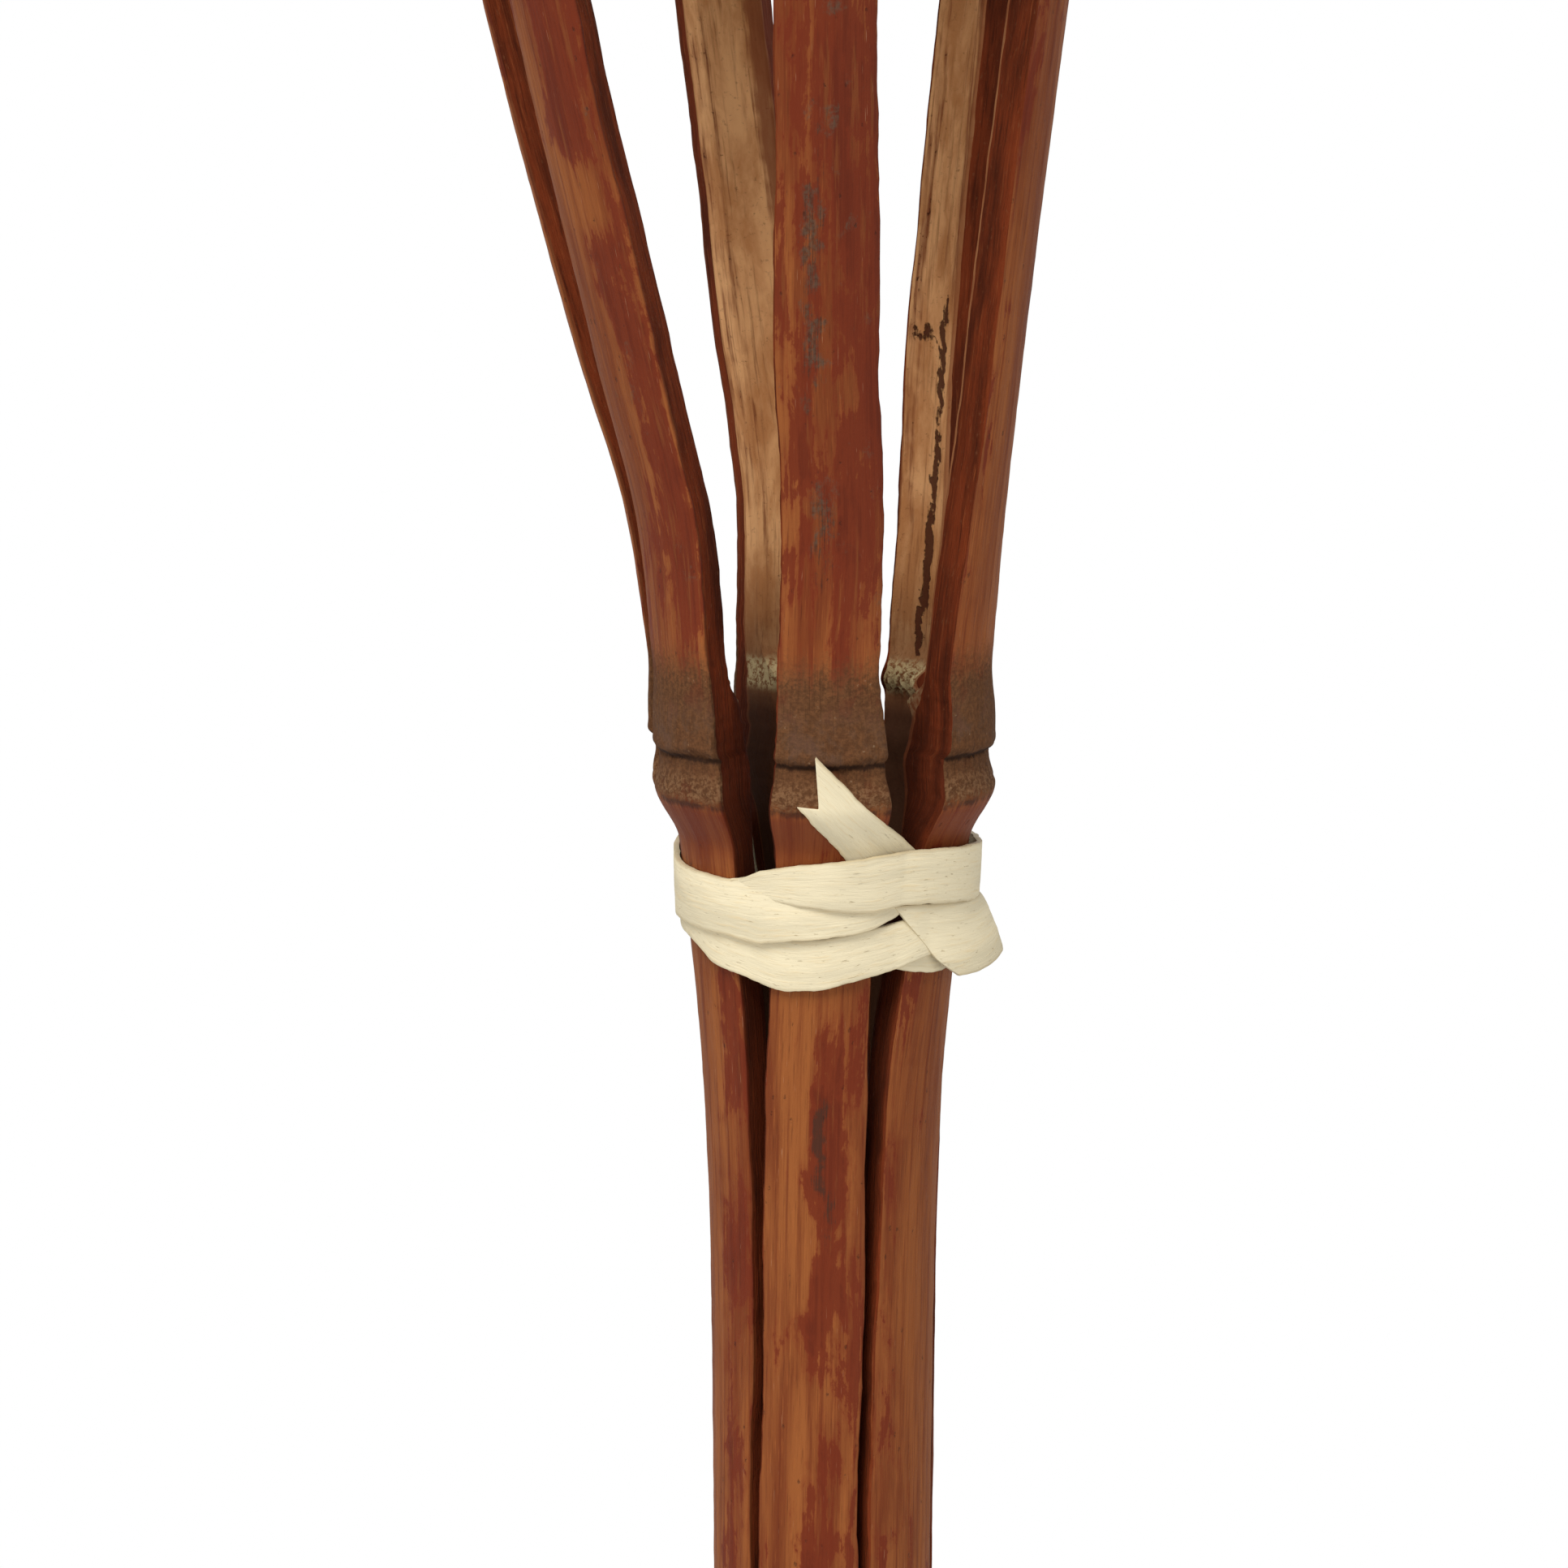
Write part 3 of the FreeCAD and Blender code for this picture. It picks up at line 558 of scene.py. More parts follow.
def add_stave(node, number, finishes):
    cane = bpy.context.scene.torch_cane
    outline = stave_outline()
    low, high = (corner.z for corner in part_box(node))
    heights = spaced_heights(low, high, cane.node_height, STAVE_RINGS)
    piece, side, ring = add_tube(f"cane_{node}", len(outline), len(heights))
    p, q = outline[side, 0], outline[side, 1]
    z = heights[ring]
    x, y, bearing, outer, inner, half = section_at(node, z)
    rise = z - cane.node_height
    fade = np.interp(z, [low, low + 0.02, high], [0, 1, 1])
    wander = np.where(
        p > 0, ripple(z / 0.061, 40 + 2 * number, 7, 0.66), ripple(z / 0.053, 41 + 2 * number, 7, 0.66)
    )
    splinter = np.where(
        p > 0, ripple(z / 0.0071 + 3 * q, 80 + 2 * number, 4), ripple(z / 0.0063 + 3 * q, 81 + 2 * number, 4)
    )
    ragged = np.exp(-((rise / 0.012) ** 2))
    sway = cane.split_wander * (wander + (0.13 + 0.2 * ragged) * splinter) * fade
    across = p * (half - 0.0004 / outer) + np.sign(p) * np.abs(p) ** 6 * np.minimum(sway, 0.0002) / outer
    own_angle = math.radians(60) * number + across
    inner = inner + 0.12 * MM * ripple(z / 0.031 + own_angle * 3, 7 + number, 5) * fade
    shelf = np.exp(-(((rise - 6.5 * MM) / (1.6 * MM)) ** 2))
    inner = inner - shelf * (1.7 + 1.3 * ripple(own_angle * 6 + number, 21 + number, 5)) * MM * (1 - q)
    outer = outer + scar_relief(rise, own_angle, 5) * np.clip(1.2 - 0.4 * np.abs(p), 0, 1)
    ribs = 0.05 * MM * ripple(own_angle * 5.5, 11, 5) * fade
    outer = outer + ribs + 0.035 * MM * ripple(z / 0.017 + own_angle * 8, 17, 5)
    if number in HUGS:
        height, reach, lean = HUGS[number]
        across = across + math.radians(lean) * np.exp(-(((rise / MM - height) / reach) ** 2))
    radius = inner + (outer - inner) * q
    angle = bearing + across
    move_points(piece, np.column_stack([x + radius * np.sin(angle), y - radius * np.cos(angle), z]))
    straight = radius - (outer - CANE_RADIUS)
    unsplit = np.column_stack([straight * np.sin(own_angle), -straight * np.cos(own_angle), z])
    keep_vectors(piece, "grain", unsplit * 1000)
    keep_numbers(piece, "rise", rise * 1000)
    edge = np.clip((np.abs(p) - 0.8) / 0.2, 0, 1)
    if number == BACK:
        edge = np.where(p > 0.8, np.clip((q - 0.35) / 0.4, 0, 1), edge)
    keep_numbers(piece, "edge", edge)
    marks = np.where(q[:, None] > 0.5, soaked(STAINS, number, p, rise), soaked(CRACKS, number, p, rise))
    keep_vectors(piece, "weather", marks)
    outward(piece)
    for finish in finishes:
        piece.data.materials.append(finish)
    # One split face of the back stave has the finish of the wall, not of the other split faces.
    bare = (number == BACK) & (outline[:, 0] > 0.9) & (outline[:, 1] < 0.7)
    zone_of_side = np.where(bare, 2, outline[:, 2]).astype(int)
    sides = len(outline)
    for face in piece.data.polygons:
        numbers = [side[v] for v in face.vertices]
        if len(numbers) > 4:
            face.material_index = 1
            continue
        first = min(numbers) if max(numbers) - min(numbers) < sides / 2 else max(numbers)
        face.material_index = int(zone_of_side[first])
    smoothed(piece, 38)
    return piece


def add_pole(finishes):
    """The unsplit cane, turned along a path up its bore, over the cut, up its skin and down again."""
    points = points_of(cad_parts["pole"])
    heights, radii = pole_outline(points)
    nodes = node_heights()
    top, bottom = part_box("pole")[1].z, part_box("pole")[0].z
    bore = np.hypot(points[:, 0], points[:, 1])[np.abs(points[:, 2] - top) < 1e-4].min()
    slope = [v for v in points if v[2] < -0.15 and math.hypot(v[0], v[1]) > 0.012]
    tilt = np.linalg.lstsq(
        np.array([(v[0], v[1], 1) for v in slope]), np.array([v[2] for v in slope]), rcond=None
    )[0]
    near = np.concatenate([np.linspace(-12, -1.2, 26), np.linspace(-1.1, 1.9, 16), np.linspace(2.1, 12, 22)]) * MM
    fine = np.concatenate([node + near for node in nodes if node < top])
    middles = np.array([(one + two) / 2 for one, two in zip(nodes, nodes[1:])])
    outer_heights = np.unique(
        np.concatenate(
            [
                np.linspace(bottom, CUT_TOP, 14),
                np.arange(-0.13, top, 0.006),
                fine[fine < top - 0.001],
                middles - 1e-6,
                middles + 1e-6,
                [top - 0.0004, top],
            ]
        )
    )
    # add_tube needs a number of spans that it can cut in two rounds, so the bore makes it up to whole tens.
    bore_rings = 12 + (-(len(outer_heights) + 12 + 13)) % 10
    path = [(bore * 0.97, 0.056), (bore, 0.054)]
    path += [(bore, height) for height in np.linspace(0.04, CUT_TOP, bore_rings)]
    path += [(bore, height) for height in np.linspace(-0.15, bottom, 6)]
    path += [(bore + 0.0003, bottom)]
    # The grooves of the nodes are shallower here than in the CAD.
    least = np.where(np.abs(nearest_rise(outer_heights, nodes)) < 2.4 * MM, 0.0147, 0)
    skin = [float(smooth(heights, radii, max(height, heights[0]))) for height in outer_heights]
    outer_path = [(max(radius, low), height) for radius, low, height in zip(skin, least, outer_heights)]
    path += [(outer_path[0][0] - 0.0004, bottom)]
    first_outer = len(path)
    path += outer_path
    last_outer = len(path) - 1
    path += [(outer_path[-1][0] - 0.0003, top), (bore + 0.0003, top), (bore, top - 0.0003)]
    path += [(bore, 0.464), (bore * 0.97, 0.462)]
    path = np.array(path)
    piece, side, ring = add_tube("cane_pole", POLE_SIDES, len(path))
    angle = side / POLE_SIDES * 2 * np.pi
    radius, z = path[ring, 0], path[ring, 1]
    is_outer = (ring >= first_outer) & (ring <= last_outer)
    rise = nearest_rise(z, nodes)
    fade = np.interp(z, [bottom, 0.4, 0.455, top], [1, 1, 1, 0])
    radius = radius + is_outer * scar_relief(rise, angle, 9) * fade
    radius = radius + is_outer * 0.05 * MM * ripple(angle * 5 / (2 * np.pi) * 6, 11, 5) * fade
    x, y = radius * np.sin(angle), -radius * np.cos(angle)
    cut = tilt[0] * x + tilt[1] * y + tilt[2] + 0.0002
    rough = 0.35 * MM * ripple(x / 0.006 + y / 0.011, 3, 4)
    z = np.where(z < CUT_TOP, cut + (z - bottom) / (CUT_TOP - bottom) * (CUT_TOP - cut), z)
    z = np.where((ring >= first_outer - 2) & (path[ring, 1] <= bottom + 1e-6), z + np.maximum(rough, 0), z)
    move_points(piece, np.column_stack([x, y, z]))
    keep_vectors(piece, "grain", np.column_stack([x, y, z]) * 1000)
    keep_numbers(piece, "rise", rise * 1000)
    keep_numbers(piece, "edge", np.zeros(len(z)))
    keep_vectors(piece, "weather", np.zeros((len(z), 3)))
    outward(piece)
    for finish in finishes:
        piece.data.materials.append(finish)
    for face in piece.data.polygons:
        rings = [ring[v] for v in face.vertices]
        if min(rings) >= first_outer and max(rings) <= last_outer:
            face.material_index = 0
        elif len(rings) > 4 or max(rings) < first_outer - 2 or min(rings) > last_outer + 1:
            face.material_index = 2
        else:
            face.material_index = 1
    smoothed(piece, 38)
    return piece


def cane_skin():
    """Varnished skin: tan streaks, ragged red stains, mildew, a dusty band at each node, painted shade in the groove
    of each scar and a painted highlight on the ridge under it.
    """
    cane = bpy.context.scene.torch_cane
    skin, stain, dust = tuple(cane.skin_colour), tuple(cane.stain_colour), tuple(cane.dust_colour)
    f = Finish("cane_skin", Specular_IOR_Level=0.13)
    grain, rise, edge = f.attribute("grain", "Vector"), f.attribute("rise"), f.attribute("edge")
    stained, mildewed, _ = f.parts(f.attribute("weather", "Vector"))
    stained = stained * 0.8
    streaks = f.drawn(grain, (1, 1, 0.022), 1.6, 5, 0.62)
    hairs = f.drawn(grain, (1, 1, 0.035), 5.5, 3, 0.6)
    broad = f.drawn(grain, (1, 1, 0.10), 0.20, 4, 0.6, 0.4)
    patches = f.noise(f.shifted(f.stretched(grain, (1, 1, 0.30)), (4.2, 1.7, 9.1)), 0.26, 7, 0.68, 0.4)
    mould = f.drawn(grain, (1, 1, 0.7), 0.30, 6, 0.7, 0.3)
    specks = f.noise(grain, 1.9, 4, 0.7)
    deep_brown = (skin[0] * 0.62, skin[1] * 0.44, skin[2] * 0.42)
    colour = f.mixed((broad + stained * 0.5).between(0.36, 0.68), tinted(skin, 1.06), deep_brown)
    colour = f.mixed(streaks.between(0.44, 0.72) * 0.6, colour, tinted(stain, 0.85))
    colour = f.mixed(hairs.between(0.55, 0.76) * 0.55, colour, tinted(stain, 0.42))
    colour = f.mixed(hairs.between(0.42, 0.28) * 0.35, colour, tinted(skin, 1.5))
    red = patches + streaks * 0.30 + specks * 0.08 + stained
    colour = f.mixed(red.between(0.735, 0.765) * 0.86, colour, stain)
    colour = f.mixed(red.between(0.80, 0.92) * streaks.between(0.35, 0.6) * 0.6, colour, tinted(stain, 0.5))
    colour = f.mixed(red.between(0.66, 0.74) * 0.3, colour, tinted(stain, 1.3))
    rubbed = f.drawn(grain, (1, 1, 0.06), 0.9, 5, 0.7).between(0.56, 0.66) * red.between(0.72, 0.80)
    colour = f.mixed(rubbed * 0.45, colour, tinted(skin, 0.8))
    deep = mould * 0.6 + hairs * 0.3 + mildewed
    colour = f.mixed(deep.between(0.60, 0.70) * 0.78, colour, (0.048, 0.020, 0.011))
    blotches = (mould + mildewed * 0.9).between(0.62, 0.74) * specks.between(0.38, 0.60) * rise.between(4, 30)
    colour = f.mixed(blotches * 0.55, colour, (0.105, 0.072, 0.046))
    pits = f.cells(f.stretched(grain, (1, 1, 0.5)), 0.55).between(0.13, 0.06) * specks.between(0.45, 0.6)
    colour = f.mixed(pits * 0.5, colour, (0.045, 0.015, 0.008))
    scratch = f.drawn(grain, (2.2, 2.2, 0.10), 2.6, 2, 0.5).between(0.71, 0.77)
    colour = f.mixed(scratch * 0.45, colour, (0.42, 0.22, 0.12))
    colour = f.mixed(edge.between(0.80, 1.0) * 0.6, colour, tinted(stain, 0.5))
    bend = (streaks - 0.5) * 6 + (specks - 0.5) * 7
    band = (rise + bend).between(15, 9) * (rise + bend * 0.3).between(-6.6, -4.4)
    dusty = f.mixed(specks.between(0.35, 0.68), dust, tinted(dust, 1.75))
    dusty = f.mixed(hairs.between(0.5, 0.75) * 0.5, dusty, tinted(dust, 0.45))
    dusty = f.mixed(mould.between(0.5, 0.66) * 0.4, dusty, tinted(stain, 0.7))
    colour = f.mixed(band * 0.93, colour, dusty)
    grey = rise.between(10, 2) * rise.between(-1.0, 1.0) * mould.between(0.44, 0.62)
    colour = f.mixed(grey * 0.28, colour, (0.125, 0.095, 0.066))
    # Painted highlight: a paler, speckled band on the ridge just under each scar.
    ridge_painted_highlight = rise.between(-6.2, -4.6) * rise.between(-1.0, -3.6) * specks.between(0.42, 0.62)
    colour = f.mixed(ridge_painted_highlight * 0.5, colour, (0.24, 0.13, 0.062))
    crumbs = f.cells(f.stretched(grain, (1, 1, 1)), 0.9).between(0.20, 0.08) * specks.between(0.54, 0.66) * band
    colour = f.mixed(crumbs * 0.5, colour, (0.36, 0.27, 0.17))
    # The leaf scar's own dark line, widened with painted shade in the groove along it.
    scar_line_and_groove_shade = (rise + (streaks - 0.5) * 1.2).size().between(0.55, 0.12)
    colour = f.mixed(scar_line_and_groove_shade * 0.8, colour, (0.016, 0.006, 0.003))
    second = (rise + 5.9 + (streaks - 0.5) * 1.6).size().between(0.7, 0.1) * mould.between(0.40, 0.58)
    colour = f.mixed(second * 0.7, colour, (0.022, 0.010, 0.006))
    under = rise.between(-5.4, -7.2) * rise.between(-16, -10)
    colour = f.mixed(under * 0.6, colour, tinted(stain, 0.95))
    roughness = 0.46 + streaks * 0.16 + band * 0.30 + blotches * 0.25
    height = streaks * 0.6 + hairs * 0.4 + specks * (0.22 + band * 1.3) - pits * 0.6
    return f.surface(colour, roughness, height, 0.17)


def cane_split():
    """Split faces: fibres drawn lengthwise, soaked dark red-brown by the stain, with painted shade round the node and
    the tie.
    """
    cane = bpy.context.scene.torch_cane
    split = tuple(cane.split_colour)
    f = Finish("cane_split", Specular_IOR_Level=0.1)
    grain, rise = f.attribute("grain", "Vector"), f.attribute("rise")
    fibres = f.drawn(grain, (1, 1, 0.030), 3.2, 5, 0.65)
    broad = f.drawn(grain, (1, 1, 0.16), 0.30, 4, 0.6)
    specks = f.drawn(grain, (1, 1, 0.5), 2.4, 3, 0.6)
    colour = f.mixed(broad.between(0.38, 0.66), tinted(split, 1.25), tinted(split, 0.55))
    colour = f.mixed(fibres.between(0.50, 0.72) * 0.8, colour, tinted(split, 0.30))
    colour = f.mixed(fibres.between(0.44, 0.26) * 0.6, colour, (0.30, 0.080, 0.022))
    colour = f.mixed(specks.between(0.60, 0.74) * 0.3, colour, (0.22, 0.10, 0.045))
    # Painted shade: split faces darker round the node and the tie, inside the bundle where little light gets in.
    colour = f.mixed(rise.between(8, 0) * rise.between(-70, -24) * 0.45, colour, tinted(split, 0.35))
    return f.surface(colour, 0.68 + fibres * 0.22, fibres + specks * 0.3, 0.28)


def cane_wall():
    """Inner wall of the cane: pale buff with brown mottling and stained margins, and painted shade round the node and
    the tie.
    """
    cane = bpy.context.scene.torch_cane
    wall = tuple(cane.wall_colour)
    f = Finish("cane_wall", Specular_IOR_Level=0.12)
    grain, rise, edge = f.attribute("grain", "Vector"), f.attribute("rise"), f.attribute("edge")
    stained, cracked, _ = f.parts(f.attribute("weather", "Vector"))
    fibres = f.drawn(grain, (1, 1, 0.05), 1.5, 5, 0.62)
    clouds = f.drawn(grain, (1, 1, 0.35), 0.22, 5, 0.62, 0.3)
    specks = f.noise(grain, 1.4, 4, 0.7)
    colour = f.mixed(clouds.between(0.36, 0.64), tinted(wall, 1.12), (wall[0] * 0.74, wall[1] * 0.60, wall[2] * 0.5))
    colour = f.mixed(fibres.between(0.52, 0.72) * 0.6, colour, (0.20, 0.075, 0.028))
    marks = f.drawn(grain, (1, 1, 2.5), 0.55, 4, 0.7).between(0.66, 0.72)
    colour = f.mixed(marks * 0.6, colour, (0.090, 0.030, 0.012))
    colour = f.mixed(specks.between(0.58, 0.74) * 0.5, colour, (0.12, 0.050, 0.024))
    colour = f.mixed((stained + fibres * 0.3).between(0.18, 0.30) * 0.8, colour, (0.20, 0.052, 0.018))
    # Painted shade: the wall darker, then near black, round the node and the tie, where little light gets in.
    colour = f.mixed(rise.between(26, 2) * rise.between(-70, -30) * 0.85, colour, (0.075, 0.022, 0.008))
    colour = f.mixed(rise.between(6, 1) * rise.between(-90, -40) * 0.8, colour, (0.030, 0.009, 0.004))
    pith = (rise - 6.5).size().between(2.6, 1.0) * specks.between(0.40, 0.56)
    colour = f.mixed(pith * 0.9, colour, (0.52, 0.42, 0.22))
    colour = f.mixed((edge + (fibres - 0.5) * 0.6).between(0.45, 0.85) * 0.75, colour, (0.20, 0.055, 0.018))
    crack = (cracked + specks * 0.35 + fibres * 0.25).between(0.40, 0.47)
    colour = f.mixed(crack * 0.92, colour, (0.060, 0.013, 0.005))
    return f.surface(colour, 0.70 + specks * 0.2, fibres * 0.6 + specks * 0.5 - crack * 2.0, 0.2)


class TORCH_OT_cane(bpy.types.Operator):
    """Model the unsplit pole and the six staves that are split from it"""

    bl_idname = "torch.cane"
    bl_label = "Cane"

    def execute(self, context):
        finishes = (cane_skin(), cane_split(), cane_wall())
        pole = add_pole(finishes)
        pieces = [(pole, "pole")]
        pieces += [(add_stave(node, number, finishes), node) for number, node in enumerate(STAVE_NODES)]
        for piece, node in pieces:
            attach(piece, "torch_stand")
            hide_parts(node)
        return {"FINISHED"}


# ---------------------------------------------------------------- tie

# Each lap of the strip: bearing in degrees, rise of its upper and lower edge over the leaf scar in
# millimetres, and how far its upper and lower edge lie off the cane in millimetres.
UPPER_LAP = (
    (-43, -15.7, -16.2, -0.30, -0.30), (-34, -14.9, -16.7, 0.0, -0.12), (-19.5, -13.3, -17.35, 0.1, 0.25),
    (-2, -12.45, -18.0, 0.35, 0.95), (8, -12.0, -18.5, 0.78, 1.05), (15, -11.8, -18.65, 0.80, 1.0),
    (33, -11.3, -18.1, 0.80, 1.0), (60, -11.8, -18.9, 0.75, 1.2), (90, -12.6, -19.9, 0.9, 1.5),
    (130, -12.9, -20.0, 0.3, 0.9), (180, -12.3, -19.6, 0.1, 0.5), (225, -12.1, -19.6, 0.05, 0.5),
    (258, -13.6, -21.2, 0.05, 0.75), (280, -14.4, -21.7, 0.05, 0.75), (300, -14.9, -21.9, 0.02, 0.8),
    (321, -15.2, -22.4, 0.0, 0.85), (334.7, -15.1, -22.95, 0.0, 0.95), (341.5, -15.3, -22.6, 0.0, 0.9),
    (360, -15.7, -21.9, 0.02, 0.8), (375, -16.0, -21.2, 0.05, 0.75), (388, -15.8, -19.6, 0.1, 0.4),
    (398, -15.6, -18.2, 0.1, 0.2),
)
LOWER_LAP = (
    (-186, -19.2, -25.4, 0.6, 0.6), (-170, -19.3, -25.4, 0.4, 0.4), (-120, -18.4, -24.2, 0.0, 0.1),
    (-90, -17.8, -23.0, 0.0, 0.2), (-72, -18.0, -23.6, 0.0, 0.3), (-61, -18.6, -24.5, 0.0, 0.3),
    (-51, -19.9, -26.3, 0.0, 0.25), (-29.4, -21.5, -28.0, 0.0, 0.2), (-16, -22.1, -29.0, 0.0, 0.2),
    (-3.3, -22.2, -28.75, 0.0, 0.2), (14.5, -21.2, -27.5, 0.05, 0.3), (32, -20.5, -26.3, 0.1, 0.6),
    (46, -19.0, -25.1, 0.2, 0.75), (60, -18.4, -24.4, 0.2, 0.5), (90, -18.0, -24.0, 0.1, 0.1),
    (135, -18.8, -24.8, 0.0, 0.0), (180, -19.4, -25.4, 0.0, 0.0),
)
UNDER_LAP = (
    (26, -23.5, -26.0, 0.02, 0.02), (40, -23.0, -27.2, 0.02, 0.02), (54, -22.5, -27.7, 0.02, 0.02),
    (66, -22.5, -27.0, 0.02, 0.02),
)
STRIP_WIDTH = 6.2


def strip_piece(name, along, across, shape, length, seed):
    """A rattan strip from a grid: shape gives bearing, rise and lift; its fibres run along the strip."""
    tie = bpy.context.scene.torch_tie
    cane = bpy.context.scene.torch_cane
    piece, u, v = add_sheet(name, along, across)
    bearing, rise, lift = shape(u, v)
    lift = lift + 0.10 * MM * (1 - (2 * v - 1) ** 2) + 0.03 * MM * ripple(u * length / 0.012 + v, seed, 4)
    radius = bundle_reach(bearing, cane.node_height + rise) + 0.06 * MM + lift
    move_points(piece, np.column_stack([radius * np.sin(bearing), -radius * np.cos(bearing), cane.node_height + rise]))
    finish_strip(piece, u, v, length, seed, tie.thickness)
    return piece


def finish_strip(piece, u, v, length, seed, thickness):
    keep_vectors(piece, "strip", np.column_stack([u * length * 1000, v * STRIP_WIDTH, np.full(len(u), seed * 7.0)]))
    keep_numbers(piece, "lane", v)
    apply_modifier(piece, "SOLIDIFY", thickness=thickness, offset=1.0, use_even_offset=True)
    apply_modifier(piece, "BEVEL", width=0.16 * MM, segments=2, limit_method="ANGLE", angle_limit=math.radians(50))


def lap(keys, seed):
    rows = np.array(keys)

    def shape(u, v):
        at = rows[0, 0] + (rows[-1, 0] - rows[0, 0]) * u
        top, bottom, lift_top, lift_bottom = (smooth(rows[:, 0], rows[:, column], at) for column in range(1, 5))
        flutter = 0.07 * ripple(at / 26, seed, 5)
        rise = (bottom + (top - bottom) * v + flutter * (2 * v - 1)) * MM
        return np.radians(at), rise, (lift_bottom + (lift_top - lift_bottom) * v) * MM

    return shape


def fold(u, v):
    """The strip's end, folded down over the lower lap and out round the side."""
    start_bearing = smooth([0, 0.28, 0.65, 1], [58, 50.5, 37, 27.5], v)
    start_rise = smooth([0, 0.28, 0.65, 1], [-28.3, -26.4, -21.8, -18.3], v)
    end_bearing = 152.0
    t = u**1.15
    bearing = start_bearing + (end_bearing - start_bearing) * t
    low = smooth([50, 58, 68, 90, 152], [-28.4, -28.3, -28.0, -26.6, -24.7], bearing)
    high = smooth([20, 27.5, 60, 90, 152], [-18.2, -18.3, -19.2, -19.7, -20.4], bearing)
    settle = np.clip(t * 3.2, 0, 1)
    rise = start_rise * (1 - settle) + (low + (high - low) * v) * settle
    bulge = np.clip(1 - np.abs(bearing - 86) / 42, 0, 1) ** 0.85 * (1.2 + 3.4 * (1 - v) ** 0.8)
    tuck = 1.35 * np.clip((bearing - 118) / 34, 0, 1) ** 2
    return np.radians(bearing), rise * MM, (0.85 - 0.35 * v + bulge - tuck) * MM


def add_tail():
    """The loose notched tail that stands up from under the upper lap and over the ridge."""
    tie, cane = bpy.context.scene.torch_tie, bpy.context.scene.torch_cane
    piece, u, v = add_sheet("tie_tail", 60, 14)
    v = np.clip(v, 0, 1)
    end_x = np.interp(v, [0, 0.29, 1], [-3.5, -0.75, -1.25])
    end_rise = np.interp(v, [0, 0.29, 1], [-4.85, -5.1, 1.5])
    start_x, start_rise = 5.4 + 9.3 * v, -15.3 + 0.5 * v
    x = start_x + (end_x - start_x) * u + 0.10 * ripple(u * 2.5 + v * 0.3, 4, 4) * (u < 1)
    rise = start_rise + (end_rise - start_rise) * u
    x, rise = x * MM, rise * MM
    on_cane = np.minimum(rise, -5.0 * MM)
    bearing = np.arcsin(np.clip(x / (21 * MM), -1, 1))
    for _ in range(4):
        reach = bundle_reach(bearing, cane.node_height + on_cane)
        bearing = np.arcsin(np.clip(x / reach, -1, 1))
    y = -np.sqrt(reach**2 - x**2) - 0.12 * MM - 0.16 * np.maximum(rise + 5.0 * MM, 0)
    curl = 0.25 * MM * (2 * v - 1) ** 2 * np.clip(u * 2 - 0.8, 0, 1)
    move_points(piece, np.column_stack([x, y - curl, cane.node_height + rise]))
    finish_strip(piece, 1 - u, v, 0.019, 5, tie.thickness)
    return piece


def rattan(name, colour, fibre_depth, dark, warm):
    """Split rattan: pale pith with fine pores and hair-thin fibres along the strip."""
    f = Finish(name, Specular_IOR_Level=0.35)
    strip, lane = f.attribute("strip", "Vector"), f.attribute("lane")
    fibres = f.drawn(strip, (0.07, 1, 1), 3.4, 5, 0.65)
    broad = f.drawn(strip, (0.12, 1, 1), 0.30, 4, 0.6)
    pores = f.drawn(strip, (0.35, 2.2, 1), 1.9, 3, 0.6)
    smudge = f.drawn(strip, (0.5, 1, 1), 0.20, 5, 0.65)
    tone = f.mixed(broad.between(0.35, 0.68), tinted(colour, 1.05), warm)
    tone = f.mixed(fibres.between(0.50, 0.72) * 0.45, tone, tinted(dark, 1.6))
    tone = f.mixed(fibres.between(0.42, 0.26) * 0.5, tone, tinted(colour, 1.14))
    tone = f.mixed(pores.between(0.62, 0.70) * smudge.between(0.42, 0.56) * 0.6, tone, dark)
    grime = f.drawn(strip, (0.8, 1.6, 1), 1.3, 5, 0.7).between(0.64, 0.72) * smudge.between(0.5, 0.62)
    tone = f.mixed(grime * 0.5, tone, tinted(dark, 0.6))
    # Painted shade: darker along both edges of the strip, where one lap meets the next.
    rim = (lane - 0.5).size().between(0.44, 0.5)
    tone = f.mixed(rim * 0.45, tone, dark)
    height = fibres + broad * 1.3 - pores.between(0.66, 0.75) * 0.5
    return f.surface(tone, 0.52 + fibres * 0.2 + smudge * 0.1, height, fibre_depth)


class TORCH_OT_tie(bpy.types.Operator):
    """Wind the rattan strip round the staves under the node, with its fold and its loose notched tail"""

    bl_idname = "torch.tie"
    bl_label = "Rattan tie"

    def execute(self, context):
        colour = tuple(context.scene.torch_tie.colour)
        strips = [
            strip_piece("tie_upper", 360, 12, lap(UPPER_LAP, 1), 0.160, 1),
            strip_piece("tie_lower", 300, 12, lap(LOWER_LAP, 2), 0.125, 2),
            strip_piece("tie_under", 30, 8, lap(UNDER_LAP, 3), 0.015, 3),
            strip_piece("tie_fold", 90, 16, fold, 0.032, 4),
            add_tail(),
        ]
        piece = joined_piece("tie_strip", strips)
        piece.data.materials.append(rattan("tie_rattan", colour, 0.10, (0.44, 0.33, 0.17), tinted(colour, 0.86)))
        smoothed(piece, 40)
        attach(piece, "torch_stand")
        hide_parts("rattan_tie")
        return {"FINISHED"}


# ---------------------------------------------------------------- basket


def course_line(node):
    """Bearing and radius of the middle of a woven course, read from its CAD solid."""
    points = points_of(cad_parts[node])
    bearing = np.arctan2(points[:, 0], -points[:, 1])
    radius = np.hypot(points[:, 0], points[:, 1])
    bins = np.linspace(-np.pi, np.pi, 181)
    at, middle = [], []
    for low, high in zip(bins, bins[1:]):
        inside = radius[(bearing >= low) & (bearing < high)]
        if len(inside) >= 4 and inside.max() - inside.min() > 0.0006:
            at.append((low + high) / 2)
            middle.append((inside.max() + inside.min()) / 2)
    return np.array(at), np.array(middle)


